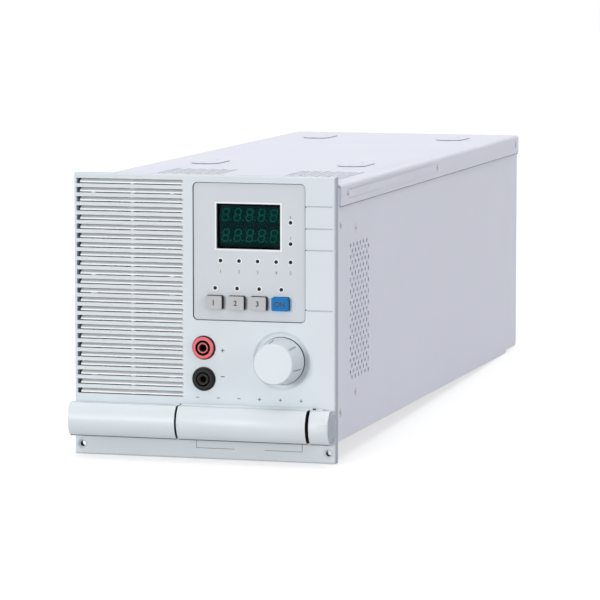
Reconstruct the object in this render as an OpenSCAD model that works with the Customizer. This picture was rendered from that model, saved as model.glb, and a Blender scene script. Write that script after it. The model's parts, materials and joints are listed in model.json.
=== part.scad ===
// DC electronic load, two-slot plug-in module. Millimetres, +Z up, front faces -Y.
// Every module is drawn with the panel face at y = 0; placed() moves it to the part frame.

/* [Front panel] */
// Width of the front panel
panel_w = 164.5; // [158:0.5:180]
// Strip of panel below the handle bar
strip_h = 13.3; // [10:0.1:16]
// Height of the handle bar and terminal cover
bar_h = 19.7; // [19:0.1:24]
// Height of the zone between bar and control plate
input_h = 51.3; // [50:0.1:64]
// Height of the control plate recess
plate_h = 83.4; // [80:0.1:100]
// Panel edge above the control plate
top_margin = 4.3; // [3:0.1:8]
// Depth of the panel edge
panel_edge = 6; // [5.6:0.1:9]
// Thickness of the panel wall
panel_wall = 3.5; // [3.2:0.1:4.4]
// Width of the rim behind the panel wall
rim_w = 1.3; // [1:0.1:1.5]
// Radius of the front edges
edge_r = 1.2; // [0.6:0.1:2]
// Depth of the engraved border grooves
groove_d = 0.4; // [0.2:0.1:0.8]
// Width of the engraved border grooves
groove_w = 0.8; // [0.4:0.1:1.2]
// Panel fixing holes inside the panel edges
fix_inset = 4.5; // [4:0.1:6]
// Radius of the fixing holes
fix_r = 1.7; // [1.5:0.1:2.2]
// Radius of the fixing hole countersinks
fix_sink_r = 3.1; // [2.6:0.1:3.6]
// Height of the fixing holes above the lower edge
fix_z = 6.1; // [5:0.1:7]
// Depth of the seam in the panel's side edges beside the bar
seam_d = 1; // [0.4:0.1:1.4]
// Width of that seam
seam_w = 1.8; // [0.8:0.1:2]

/* [Air inlet] */
// Number of inlet slots
slot_count = 24; // [16:1:26]
// Height of one slot
slot_h = 3.3; // [2.4:0.1:3.6]
// Length of the slots
slot_len = 67.6; // [66:0.1:72]
// Panel edge left of the slots
slot_margin = 1.6; // [1.6:0.1:3]
// Panel thickness at the slots
slot_wall = 1.4; // [1.2:0.1:2.6]
// First slot above the bar
vent_low = 6; // [5:0.1:10]
// Last slot below the panel top
vent_high = 5; // [4:0.1:8]
// Thickness of the sloped vanes
vane_t = 0.9; // [0.7:0.1:1.2]
// Rise of a vane from front to back
vane_rise = 2.4; // [1.6:0.1:2.8]
// Vane front edge above the slot floor
vane_lift = 0.6; // [0.4:0.1:1]
// Vane front edge behind the panel face
vane_front = 0.5; // [0.3:0.1:1]
// Vanes inside the outer slot ends
vane_side = 2.2; // [1:0.1:3]
// Width of the rib across the vanes
vane_rib = 2; // [1.5:0.1:4]

/* [Control plate] */
// Panel web between the slots and the plate
divider = 6.2; // [6:0.1:9]
// Width of the control plate recess
plate_w = 70.4; // [67:0.1:76]
// Corner radius of the recess
plate_r = 3; // [2:0.1:5]
// Thickness of the plate
plate_t = 1; // [0.8:0.1:1.2]
// Depth of the plate face below the panel face
plate_sink = 0.8; // [0.4:0.1:1]
// Gap round the plate
plate_gap = 0.4; // [0.2:0.05:0.6]
// Width of the display window
window_w = 39.9; // [38.6:0.1:42]
// Height of the display window
window_h = 27.2; // [26.4:0.1:29]
// Window below the recess top edge
window_drop = 12.7; // [11:0.1:15]
// Thickness of the display lens
lens_t = 1.5; // [1:0.1:1.6]
// Gap round the lens
lens_gap = 0.1; // [0.05:0.01:0.2]
// Radius of the indicator lenses
led_r = 1.1; // [0.9:0.05:1.3]
// Indicator row below the display window
led_row_drop = 7.2; // [6:0.1:9]
// Indicators over the keys above the recess bottom edge
key_led_lift = 19.7; // [19:0.1:22]
// Step of the indicator row
led_pitch = 11.6; // [10:0.1:11.8]

/* [Keys] */
// Width of a key
key_w = 10.2; // [9:0.1:11]
// Height of a key
key_h = 8; // [7:0.1:9]
// Step of the key row
key_pitch = 13.8; // [13.7:0.1:14.6]
// Key row above the recess bottom edge
key_lift = 11.2; // [10:0.1:12.5]
// Key face in front of the plate
key_proud = 4; // [3.4:0.1:5]
// Travel of a key
key_travel = 1.2; // [0.8:0.1:1.4]
// Gap round a key
key_gap = 0.25; // [0.15:0.05:0.4]
// Thickness of a grey key cap
cap_t = 1.2; // [0.8:0.1:1.6]
// Thickness of the blue key cap
blue_cap_t = 3.6; // [2:0.1:3.8]
// Key flange beyond the key on each side
key_flange = 1.1; // [0.8:0.1:1.3]
// Radius of the key stems
stem_r = 1.7; // [1.4:0.1:2]

/* [Knob] */
// Radius of the knob at its foot
knob_r = 14.3; // [13:0.1:15]
// Radius of the knob face
knob_face_r = 12; // [10:0.1:12.8]
// Knob face in front of the panel
knob_proud = 18; // [16:0.5:22]
// Knob axis left of the recess right edge
knob_side = 15; // [14:0.1:20]
// Radius of the shallow dish round the knob
dish_r = 17.8; // [16.5:0.1:18]
// Depth of the dish
dish_d = 1; // [0.6:0.1:1.4]
// Radius of the encoder shaft
shaft_r = 3; // [2.5:0.1:3.2]

/* [Sense sockets] */
// Distance between the two sockets
socket_pitch = 19; // [18:0.1:21]
// Radius of the socket collars
socket_r = 6.7; // [6.5:0.1:7]
// Collar face in front of the panel
socket_proud = 2.5; // [1.5:0.1:4]
// Radius of the contact bore
jack_r = 2; // [1.9:0.05:2.1]
// Length of the socket body behind the panel face
socket_len = 20; // [16:0.5:26]
// Socket axis right of the recess left edge
socket_side = 6.9; // [6.8:0.1:9]

/* [Handle bar and terminal cover] */
// Bar crown in front of the panel
bar_proud = 16; // [15:0.1:18]
// Height of the crown over its edges
nose_sag = 4.6; // [4:0.1:6.4]
// Depth of the neck behind the bar
neck_d = 5; // [4.4:0.1:5.4]
// Height of the neck
neck_h = 14.4; // [14:0.1:17]
// Wall of the bar
bar_wall = 2; // [1.6:0.1:2.4]
// Bar ends inside the panel edges
bar_inset = 0.5; // [0.3:0.1:1.5]
// Radius of the bar's outer ends seen from above
end_r = 2; // [1:0.1:3]
// Gap between grip and cover
grip_gap = 1.3; // [0.8:0.1:1.8]
// Gap between cover and hinge block
block_gap = 2.1; // [1.2:0.1:2.6]
// Width of the hinge block
block_w = 12; // [11:0.1:14]
// Radius of the hinge barrel
barrel_r = 1.8; // [1.6:0.1:2]
// Barrel past the right end of the cover
barrel_over = 1.8; // [1:0.1:1.9]
// Radius of the hinge pins
pin_r = 1; // [0.8:0.05:1.1]
// Radius of the hinge ears and of the pin collar
ear_r = 1.5; // [1.4:0.1:1.6]
// Length of the pin collar
collar_l = 1.6; // [1:0.1:2.4]
// Running gap of the cover on its pins
pin_gap = 0.05; // [0.03:0.01:0.09]

/* [Terminals] */
// Cover length that the row of terminals leaves free
term_free = 1.5; // [1.4:0.1:3]
// Gap between two terminal tabs
tab_gap = 3; // [2.4:0.1:4]
// Radius of the terminal screw shanks
term_screw_r = 2; // [1.6:0.1:2.2]
// Thickness of the busbars
bus_t = 3; // [2:0.1:4]

/* [Chassis] */
// Back end of the chassis behind the panel face
chassis_d = 496.5; // [475:0.5:540]
// Panel reaching below the chassis floor
panel_drop = 12.5; // [12:0.1:14]
// Panel reaching above the top cover
panel_rise = 5; // [4:0.1:8]
// Sheet thickness
sheet = 1.2; // [1:0.1:1.4]
// Outer bend radius
bend_r = 2; // [1.6:0.1:3]
// Height of the top cover lips
lip_h = 12.8; // [10:0.1:15]
// Top cover behind the panel back
cover_back = 2.4; // [1.5:0.1:5]
// Gap between sheet parts
sheet_gap = 0.1; // [0.05:0.01:0.2]
// Rear panel in front of the chassis end
rear_recess = 33; // [26:0.5:44]
// Floor end in front of the chassis end
floor_short = 32; // [25:0.5:43]
// Radius of the vent holes
vent_r = 1.5; // [1.2:0.05:1.6]
// Half step of the vent columns
vent_dx = 3.83; // [3.6:0.01:4]
// Half step of the vent rows
vent_dz = 3.5; // [3.3:0.01:3.6]
// Width of the slide pads on the cover
pad_w = 19; // [16:0.5:24]
// Length of the slide pads
pad_l = 38; // [34:0.5:44]
// Height of the slide pads
pad_h = 0.6; // [0.4:0.1:1.2]
// Slide pads inside the panel edges
pad_side = 33.5; // [30:0.5:40]
// Front slide pads behind the panel face
pad_front = 172; // [160:1:190]
// Rear slide pads before the chassis end
pad_rear = 59; // [50:1:80]

/* [Inside] */
// Height of the air inlet that the two fans leave free
fan_free = 8; // [7:0.5:14]
// Depth of a fan frame
fan_d = 25; // [22:0.5:28]
// Gap between the fan blades and their frame
blade_gap = 1; // [0.8:0.1:3]
// Start of the heat sink behind the panel face
sink_y = 42; // [38:0.5:48]
// Length of the heat sink
sink_l = 300; // [290:1:340]
// Number of heat sink fins
fin_count = 24; // [14:1:26]
// Thickness of a fin
fin_t = 1.5; // [1:0.1:2]
// Thickness of the heat sink base
sink_base = 6; // [5:0.1:7]
// Height of the power board standoffs
standoff_h = 9; // [8:0.5:10]
// Thickness of the circuit boards
board_t = 1.6; // [1.2:0.1:2]
// Control board above the floor
control_lift = 15; // [13:0.5:20]

/* [Inside parts] */
// Width of a power transistor
part_w = 16; // [14:0.5:18]
// Height of a power transistor
part_h = 21; // [18:0.5:23]
// Thickness of a power transistor
part_t = 5; // [4:0.1:6]
// Lower transistor row above the floor
part_low = 38; // [34:0.5:42]
// Upper transistor row above the floor
part_high = 88; // [80:0.5:94]
// Radius of a capacitor
can_r = 6.25; // [5:0.05:8]
// Length of a capacitor
can_l = 20; // [16:0.5:25]
// First capacitor behind the board's front edge
can_start = 60; // [54:1:66]
// Length of a current shunt
shunt_l = 28; // [24:0.5:32]
// Height of a current shunt over the board
shunt_h = 9; // [7:0.5:12]
// Width of a current shunt
shunt_w = 8; // [6:0.5:10]
// Step of the current shunts
shunt_pitch = 45; // [40:0.5:48]
// First current shunt behind the board's front edge
shunt_start = 70; // [66:1:80]
// Current shunts above the board's lower edge
shunt_lift = 60; // [56:1:64]
// Width of the transformer winding
core_w = 40; // [36:0.5:42]
// Length of the transformer foot
core_l = 32; // [28:0.5:36]
// Height of the transformer
core_h = 26; // [22:0.5:30]
// Width of the busbar arms
bus_w = 12; // [10:0.5:14]
// Rise of the busbars at the power board
bus_rise = 28; // [24:0.5:32]
// Back end of the negative busbar
neg_end = 72; // [68:0.5:74]
// Back end of the positive busbar
pos_end = 90; // [88:0.5:96]
// Width of the measuring board
measure_w = 47; // [40:0.5:50]
// Width of the encoder body
encoder_w = 13; // [11:0.5:14]
// Middle of the rear connector right of the centre
plug_x = 39; // [36:0.5:40]
// Middle of the rear connector above the floor
plug_lift = 33.5; // [30:0.5:40]
// Width of the rear connector
plug_w = 63; // [61:0.5:66]
// Height of the rear connector
plug_h = 13; // [12.5:0.1:15]
// Depth of the rear connector behind the rear panel
plug_d = 12; // [11:0.5:16]
// Step of the connector pins
pin_pitch = 3.5; // [3:0.1:3.6]

/* [Hidden] */
$fn = 48;
eps = 0.02;
fit = 0.05;
bar_z0 = strip_h;
bar_z1 = strip_h + bar_h;
bar_zc = (bar_z0 + bar_z1) / 2;
plate_z0 = bar_z1 + input_h;
plate_z1 = plate_z0 + plate_h;
panel_h = plate_z1 + top_margin;
half_w = panel_w / 2;
slot_x0 = -half_w + slot_margin;
slot_x1 = slot_x0 + slot_len;
plate_x0 = slot_x1 + divider;
plate_x1 = plate_x0 + plate_w;
plate_cx = (plate_x0 + plate_x1) / 2;
plate_zc = (plate_z0 + plate_z1) / 2;
plate_floor = plate_sink + plate_t;
vent_z0 = bar_z1 + vent_low;
vent_z1 = panel_h - vent_high;
slot_pitch = (vent_z1 - vent_z0) / (slot_count - 1);
window_x = plate_cx - 0.6;
window_zc = plate_z1 - window_drop - window_h / 2;
led_row_z = plate_z1 - window_drop - window_h - led_row_drop;
key_led_z = plate_z0 + key_led_lift;
side_led_x = plate_x1 - 9.4;
key_z = plate_z0 + key_lift;
key_x0 = plate_cx - 1.5 * key_pitch - 0.7;
key_front = plate_sink - key_proud;
knob_x = plate_x1 - knob_side;
knob_z = bar_z1 + 28.1;
socket_x = plate_x0 + socket_side;
socket_zc = knob_z - 2.9;
boss_x = [slot_x1 + divider / 2, (plate_x1 + half_w) / 2];
boss_z = [bar_z1 + 7.9, plate_z1 - 8];
boss_r = 2.8;
pilot_r = 1.25;
// Bar section
nose_r = (bar_h * bar_h / 4 + nose_sag * nose_sag) / (2 * nose_sag);
nose_y = nose_r - bar_proud;
hinge_y = -barrel_r - 1.4;
hinge_z = bar_z1 - 1;
grip_x0 = -half_w + bar_inset;
grip_x1 = slot_x1 - 1;
cover_x0 = grip_x1 + grip_gap;
block_x1 = half_w - bar_inset;
block_x0 = block_x1 - block_w;
cover_x1 = block_x0 - block_gap;
collar_x = cover_x1 + barrel_over + 0.2;
ear_x = collar_x + collar_l;
bar_screw_x = [grip_x0 + 11, grip_x1 - 11, (block_x0 + block_x1) / 2 + 0.6];
// Terminals
term_x = (cover_x0 + cover_x1) / 2;
term_pitch = (cover_x1 - cover_x0 - term_free) / 6;
tab_w = term_pitch - tab_gap;
term_half = 2.5 * term_pitch + 4.8;
floor_z = panel_drop;
floor_top = floor_z + sheet;
hood_z1 = bar_zc + neck_h / 2 - bar_wall;
block_z0 = floor_top + 0.8;
block_z1 = hood_z1 - 0.2;
term_z = (block_z0 + block_z1) / 2;
tab_y = 2;
tab_t = 2;
tab_h = block_z1 - block_z0 - 2.5;
fin_y = 7;
term_head_r = 3.9;
term_lift = hood_z1 - 0.55 - term_head_r - term_z;
// Chassis
cover_z1 = panel_h - panel_rise;
tray_top = cover_z1 - sheet - 2 * sheet_gap;
tray_in = half_w - sheet;
lip_x = half_w + sheet;
cover_y0 = panel_edge + cover_back;
pad_x = half_w - pad_side;
pad_y = [pad_front, chassis_d - pad_rear];
sub_y0 = panel_edge;
sub_y1 = sub_y0 + sheet;
sub_x = tray_in - sheet_gap;
rear_y0 = chassis_d - rear_recess - sheet;
floor_y1 = chassis_d - floor_short;
lip_screw_y = [24, chassis_d / 2 + 1.7, chassis_d - 9.5];
lip_screw_z = cover_z1 - 6.5;
edge_screw_y = panel_edge + 5.4;
edge_screw_z = [floor_z + 17, cover_z1 - 24.6];
bracket_y = 46.7;
bracket_z = [floor_z + 25.5, cover_z1 - 29];
screw_r = 1.4;
screw_head_r = 2.8;
edge_screw_len = 2 * sheet + sheet_gap + 0.3;
// Inside
fan_x = (slot_x0 + slot_x1) / 2;
fan_zc = (vent_z0 + vent_z1) / 2;
fan_size = (vent_z1 - vent_z0 - fan_free) / 2;
fan_z = [fan_zc - fan_size / 2 - 0.25, fan_zc + fan_size / 2 + 0.25];
fan_y1 = sub_y1 + fan_d;
fan_bore = fan_size / 2 - 1.6;
rotor_r = fan_bore - blade_gap;
fan_hole = fan_size * 0.4165;
display_y = 16;
sink_x1 = slot_x1 - 2.1;
sink_x0 = sink_x1 - sink_base;
sink_z1 = tray_top - 4;
fin_x0 = -lip_x + 7;
board_x = sink_x1 + standoff_h;
board_y = [sink_y + 15, sink_y + sink_l - 7];
board_z = [floor_top + 8, tray_top - 7];
post_y = [board_y[0] + 40, board_y[1] - 8];
post_z = [board_z[0] + 6, board_z[1] - 6];
control_z = floor_top + control_lift;
control_x = [board_x + board_t + 12, tray_in - 7];
control_y = [100, rear_y0 - 30];
control_post_x = [control_x[0] + 6, control_x[1] - 6];
control_post_y = [control_y[0] + 8, control_y[1] - 8];
bus_z = term_z - 2;
bus_y0 = 12.3;
plug_z = floor_top + plug_lift;
// Part frame: origin on the floor under the middle of the outer box
frame_y = (chassis_d - knob_proud) / 2;

// Shapes

// Extrudes a (y, z) section along x
module along_x(x0, x1) {
  translate([x0, 0, 0]) rotate([90, 0, 90]) linear_extrude(x1 - x0) children();
}

// Extrudes an (x, z) section along y
module along_y(y0, y1) {
  translate([0, y1, 0]) rotate([90, 0, 0]) linear_extrude(y1 - y0) children();
}

module rod_x(r, x0, x1) {
  translate([x0, 0, 0]) rotate([0, 90, 0]) cylinder(r = r, h = x1 - x0);
}

module rod_y(r, y0, y1) {
  translate([0, y0, 0]) rotate([-90, 0, 0]) cylinder(r = r, h = y1 - y0);
}

module cone_y(ra, rb, y0, y1) {
  translate([0, y0, 0]) rotate([-90, 0, 0]) cylinder(r1 = ra, r2 = rb, h = y1 - y0);
}

module round_rect(w, h, r) {
  square([w - 2 * r, h], center = true);
  square([w, h - 2 * r], center = true);
  for (sx = [-1, 1], sz = [-1, 1]) {
    translate([sx * (w / 2 - r), sz * (h / 2 - r)]) circle(r);
  }
}

module box(x0, x1, y0, y1, z0, z1) {
  translate([x0, y0, z0]) cube([x1 - x0, y1 - y0, z1 - z0]);
}

// Pan-head screw along +y, head underside at y = 0
module pan_screw_y(r, len, head_r, head_h) {
  rod_y(r, -len, head_h / 2);
  rod_y(head_r, 0, head_h);
}

// Flat-head screw along x with its face at x = 0, pointing to -x
module flat_screw_x(len) {
  difference() {
    union() {
      rotate([0, -90, 0]) cylinder(r1 = screw_head_r, r2 = screw_r, h = sheet);
      rod_x(screw_r, -len, -sheet + eps);
    }
    box(-0.5, 1, -0.4, 0.4, -1.8, 1.8);
    box(-0.5, 1, -1.8, 1.8, -0.4, 0.4);
  }
}

// Cut for a flat-head screw of that kind
module flat_cut_x() {
  translate([eps, 0, 0]) rotate([0, -90, 0])
    cylinder(r1 = screw_head_r + fit + eps, r2 = screw_r + fit, h = sheet + 2 * eps);
}

module at_keys() {
  for (i = [0 : 3]) translate([key_x0 + i * key_pitch, 0, key_z]) children();
}

module at_leds() {
  for (i = [-1 : 2]) translate([plate_cx - 6.4 + i * led_pitch, 0, led_row_z]) children();
  translate([side_led_x, 0, led_row_z]) children();
  for (i = [0 : 3]) translate([key_x0 + i * key_pitch, 0, key_led_z]) children();
  for (s = [-1, 1]) translate([side_led_x, 0, window_zc - 3.4 + s * 6.4]) children();
}

module at_sockets() {
  for (s = [-1, 1]) translate([socket_x, 0, socket_zc + s * socket_pitch / 2]) children();
}

module at_bosses() {
  for (x = boss_x, z = boss_z) translate([x, 0, z]) children();
}

module at_terms() {
  for (i = [-2.5 : 1 : 2.5]) translate([term_x + i * term_pitch, 0, term_z]) children();
}

module at_bar_screws() {
  for (x = bar_screw_x) translate([x, 0, bar_zc]) children();
}

module at_fans() {
  for (z = fan_z) translate([fan_x, 0, z]) children();
}

// Staggered field of n by m vent holes in a 2D plane
module vent_field(n, m) {
  for (i = [0 : n - 1], j = [0 : m - 1]) {
    translate([i * vent_dx, (2 * j + (i + 1) % 2) * vent_dz]) circle(vent_r, $fn = 24);
  }
}

// Openings of the control plate, shared by plate and panel
module control_openings() {
  translate([window_x, window_zc]) square([window_w, window_h], center = true);
  for (i = [0 : 3]) {
    translate([key_x0 + i * key_pitch, key_z]) round_rect(key_w + 2 * key_gap, key_h + 2 * key_gap, 1);
  }
}

// Front panel

module panel_blank() {
  intersection() {
    along_x(-half_w, half_w) {
      translate([edge_r, 0]) square([panel_edge - edge_r, panel_h]);
      translate([0, edge_r]) square([panel_edge, panel_h - 2 * edge_r]);
      for (z = [edge_r, panel_h - edge_r]) translate([edge_r, z]) circle(edge_r);
    }
    translate([0, 0, -1]) linear_extrude(panel_h + 2) {
      translate([-half_w, edge_r]) square([panel_w, panel_edge - edge_r]);
      translate([-half_w + edge_r, 0]) square([panel_w - 2 * edge_r, panel_edge]);
      for (s = [-1, 1]) translate([s * (half_w - edge_r), edge_r]) circle(edge_r);
    }
  }
}

module front_panel() color([0.87, 0.9, 0.92]) {
  difference() {
    union() {
      difference() {
        panel_blank();
        box(-half_w + rim_w, half_w - rim_w, panel_wall, panel_edge + 1, floor_top + 0.3, panel_h - rim_w);
        box(-half_w + rim_w, slot_x1 + 1, slot_wall, panel_wall + 1, vent_z0 - 4, panel_h - rim_w);
      }
      at_bosses() rod_y(boss_r, slot_wall - 0.5, panel_edge);
    }
    for (i = [0 : slot_count - 1]) {
      box(slot_x0, slot_x1, -1, slot_wall + 1, vent_z0 + i * slot_pitch - slot_h / 2,
          vent_z0 + i * slot_pitch + slot_h / 2);
    }
    translate([plate_cx, 0, plate_zc]) along_y(-1, plate_floor) round_rect(plate_w, plate_h, plate_r);
    along_y(plate_floor - 1, panel_wall + 1) control_openings();
    at_leds() rod_y(led_r + 0.1, 0, panel_wall + 1);
    translate([knob_x, 0, knob_z]) {
      cone_y(dish_r + 0.02, dish_r - 1.6, -0.01, dish_d);
      rod_y(shaft_r + 0.7, 0, panel_wall + 1);
    }
    at_sockets() rod_y(socket_r - 0.55, -1, panel_wall + 1);
    box(term_x - term_half - 0.3, term_x + term_half + 0.3, -1, panel_edge + 1, block_z0 - 0.3, block_z1 + 0.3);
    for (s = [-1, 1]) translate([s * (half_w - fix_inset), 0, fix_z]) {
      rod_y(fix_r, -1, panel_edge + 1);
      cone_y(fix_sink_r + 0.02, fix_r - 0.02, -0.02, fix_sink_r - fix_r + 0.02);
    }
    for (s = [-1, 1]) translate([s * half_w, 0, 0]) {
      box(-seam_d, seam_d, edge_r - 0.6, edge_r - 0.6 + seam_w, bar_z0, bar_z1);
    }
    at_bar_screws() rod_y(1.6, -1, panel_edge + 1);
    at_bosses() rod_y(pilot_r, slot_wall + 0.6, panel_edge + 1);
    for (share = [0.16, 0.319, 0.474, 0.908]) {
      z = share * plate_h;
      box(plate_x1 + 1, half_w - 1.8, -1, groove_d, plate_z1 - z - groove_w / 2, plate_z1 - z + groove_w / 2);
    }
  }
}

module louvre_vanes() color([0.9, 0.92, 0.94]) {
  y0 = vane_front;
  y1 = panel_edge - 0.1;
  lift = vane_lift - slot_h / 2;
  for (i = [0 : slot_count - 1]) translate([0, 0, vent_z0 + i * slot_pitch + lift]) {
    along_x(slot_x0 + vane_side, slot_x1 - 0.1)
      polygon([[y0, 0], [y1, vane_rise], [y1, vane_rise + vane_t], [y0, vane_t]]);
  }
  for (x = [slot_x0 + slot_len / 2 + 1.7, slot_x1 + 0.2]) {
    box(x - vane_rib, x, slot_wall + 1.9, y1, vent_z0 - slot_h / 2, vent_z1 + slot_h / 2);
  }
}

module sub_panel() color([0.3, 0.31, 0.33]) {
  difference() {
    union() {
      box(-sub_x, sub_x, sub_y0, sub_y1, floor_top, tray_top);
      for (s = [-1, 1]) {
        box(s > 0 ? sub_x - sheet : -sub_x, s > 0 ? sub_x : sheet - sub_x, sub_y1 - eps, sub_y1 + 10,
            floor_top + 4, tray_top - 10);
      }
    }
    box(plate_x0 - 0.6, plate_x1 + 4, sub_y0 - 1, sub_y1 + 1, bar_z1 + 3, tray_top - 4);
    box(term_x - term_half - 0.6, term_x + term_half + 0.6, sub_y0 - 1, sub_y1 + 1, floor_top - 1,
        block_z1 + 0.6);
    at_bosses() rod_y(1.6, sub_y0 - 1, sub_y1 + 1);
    at_fans() {
      for (i = [-7 : 7], j = [-7 : 7]) {
        x = i * 3.6;
        z = (j + (abs(i) % 2) / 2) * 4;
        if (norm([x, z]) < fan_bore - 2.4) translate([x, 0, z]) rod_y(1.5, sub_y0 - 1, sub_y1 + 1, $fn = 16);
      }
      for (sx = [-1, 1], sz = [-1, 1]) {
        translate([sx * fan_hole, 0, sz * fan_hole]) rod_y(1.9 + fit, sub_y0 - 1, sub_y1 + 1);
      }
    }
    for (s = [-1, 1], z = edge_screw_z) {
      translate([s * sub_x, edge_screw_y, z]) rod_x(screw_r + fit, -3, 3);
    }
  }
}

module panel_screws() color([0.7, 0.7, 0.72]) {
  at_bosses() translate([0, sub_y1, 0]) pan_screw_y(pilot_r - fit, sub_y1 - slot_wall - 1.2, 2.7, 1.8);
  at_bar_screws() translate([0, panel_wall, 0]) pan_screw_y(pilot_r - fit, panel_wall + 8, 2.7, 1.8);
}

// Controls

module control_plate() color([0.8, 0.82, 0.84]) {
  difference() {
    along_y(plate_sink, plate_floor) difference() {
      translate([plate_cx, plate_zc])
        round_rect(plate_w - 2 * plate_gap, plate_h - 2 * plate_gap, plate_r - plate_gap);
      control_openings();
    }
    at_leds() rod_y(led_r + 0.1, -1, plate_floor + 1);
  }
}

module display_lens() color([0.04, 0.16, 0.16]) {
  y1 = panel_wall - 0.1;
  translate([window_x, 0, window_zc]) {
    box(lens_gap - window_w / 2, window_w / 2 - lens_gap, y1 - lens_t, y1, lens_gap - window_h / 2,
        window_h / 2 - lens_gap);
  }
}

module display_modules() color([0.05, 0.06, 0.06]) {
  for (s = [-1, 1]) translate([window_x, 0, window_zc + s * (window_h / 4 - 0.3)]) {
    box(1 - window_w / 2, window_w / 2 - 1, panel_wall, display_y, 0.4 - window_h / 4, window_h / 4 - 0.4);
  }
}

module display_board() color([0.1, 0.32, 0.2]) {
  difference() {
    along_y(display_y, display_y + board_t) polygon([
      [plate_x0 + 1, plate_z0 - 1], [plate_x0 + 1, plate_z1 - 4], [plate_x1 - 1, plate_z1 - 4],
      [plate_x1 - 1, knob_z - 12], [knob_x - 18, knob_z - 12], [knob_x - 18, plate_z0 - 1]]);
    at_display_posts() rod_y(1.6, display_y - 1, display_y + board_t + 1);
  }
}

module at_display_posts() {
  for (x = [plate_x0 + 4.4, plate_x1 - 4.4], z = [plate_z0 + 28.4, plate_z1 - 11]) {
    translate([x, 0, z]) children();
  }
}

module at_power_posts() {
  for (y = post_y, z = post_z) translate([0, y, z]) children();
}

module at_control_posts() {
  for (x = control_post_x, y = control_post_y) translate([x, y, 0]) children();
}

module standoffs() color([0.75, 0.75, 0.77]) {
  at_display_posts() difference() {
    rod_y(2.7, panel_wall, display_y);
    rod_y(pilot_r, display_y - 7, display_y + 1);
  }
  at_power_posts() difference() {
    rod_x(3, sink_x1, board_x);
    rod_x(pilot_r, board_x - 6, board_x + 1);
  }
  at_control_posts() difference() {
    translate([0, 0, floor_top]) cylinder(r = 3, h = control_lift);
    translate([0, 0, control_z - 7]) cylinder(r = pilot_r, h = 8);
  }
}

module board_screw() {
  pan_screw_y(pilot_r - fit, board_t + 5, 2.6, 1.8);
}

module board_screws() color([0.68, 0.68, 0.7]) {
  at_display_posts() translate([0, display_y + board_t, 0]) board_screw();
  at_power_posts() translate([board_x + board_t, 0, 0]) rotate([0, 0, -90]) board_screw();
  at_control_posts() translate([0, 0, control_z + board_t]) rotate([90, 0, 0]) board_screw();
}

module indicator_leds() color([0.06, 0.06, 0.07]) {
  at_leds() rod_y(led_r, plate_sink + 0.1, display_y);
}

module key_plunger(i, cap) {
  translate([key_x0 + i * key_pitch, 0, key_z]) {
    along_y(key_front + cap, panel_wall + 0.2 + eps) round_rect(key_w, key_h, 0.8);
    along_y(panel_wall + 0.2, panel_wall + 1.4) {
      square([key_w + 2 * key_flange, key_h + 2 * key_flange], center = true);
    }
    rod_y(stem_r, panel_wall + 1.3, display_y - 3.8);
  }
}

module key_cap(i, cap) {
  translate([key_x0 + i * key_pitch, 0, key_z]) {
    along_y(key_front, key_front + cap) round_rect(key_w, key_h, 0.8);
  }
}

module key_1_plunger() color([0.06, 0.06, 0.07]) key_plunger(0, cap_t);
module key_2_plunger() color([0.06, 0.06, 0.07]) key_plunger(1, cap_t);
module key_3_plunger() color([0.06, 0.06, 0.07]) key_plunger(2, cap_t);
module key_4_plunger() color([0.06, 0.06, 0.07]) key_plunger(3, blue_cap_t);
module key_1_cap() color([0.7, 0.71, 0.73]) key_cap(0, cap_t);
module key_2_cap() color([0.7, 0.71, 0.73]) key_cap(1, cap_t);
module key_3_cap() color([0.7, 0.71, 0.73]) key_cap(2, cap_t);
module key_4_cap() color([0.12, 0.45, 0.72]) key_cap(3, blue_cap_t);

module key_switches() color([0.15, 0.15, 0.16]) {
  at_keys() difference() {
    box(-3.1, 3.1, display_y - 4.3, display_y, -3.1, 3.1);
    rod_y(stem_r + 0.1, display_y - 5, display_y - 3.8 + key_travel + 0.5);
  }
}

module encoder() color([0.3, 0.32, 0.34]) {
  translate([knob_x, 0, knob_z]) difference() {
    union() {
      box(-encoder_w / 2, encoder_w / 2, 9.5, display_y, -encoder_w / 2, encoder_w / 2);
      rod_y(shaft_r + 0.5, dish_d - 3.5, 10);
    }
    rod_y(shaft_r + fit, dish_d - 5, display_y - 2);
  }
}

module encoder_nut() color([0.75, 0.75, 0.77]) {
  translate([knob_x, dish_d - 2, knob_z]) rotate([-90, 0, 0]) difference() {
    cylinder(r = shaft_r + 2.6, h = 2, $fn = 6);
    translate([0, 0, -1]) cylinder(r = shaft_r + 0.5 + fit, h = 4);
  }
}

module encoder_shaft() color([0.72, 0.72, 0.74]) {
  translate([knob_x, 0, knob_z]) rod_y(shaft_r, 5 - knob_proud, display_y - 2.5);
}

module knob() color([0.88, 0.9, 0.92]) {
  foot = dish_d - 1.1;
  cave = dish_d - 4.2;
  side = atan((knob_r - knob_face_r - 0.3) / (knob_proud - 0.7 + foot));
  translate([knob_x, 0, knob_z]) rotate([-90, 0, 0]) difference() {
    rotate_extrude($fn = 64) polygon([
      [0, -knob_proud], [knob_face_r - 0.4, -knob_proud], [knob_face_r + 0.3, 0.7 - knob_proud],
      [knob_r, foot], [knob_r - 2, foot], [knob_r - 2.4, cave], [0, cave]]);
    translate([0, 0, 4.8 - knob_proud]) cylinder(r = shaft_r + 0.03, h = knob_proud);
    for (a = [0 : 60 : 300]) rotate([0, 0, a + 17]) {
      translate([knob_face_r + 0.3, 0, 0.7 - knob_proud]) rotate([0, side, 0])
        translate([-0.7, -0.45, 2.2]) cube([3, 0.9, knob_proud - 7]);
    }
  }
}

// Sense sockets

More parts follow.
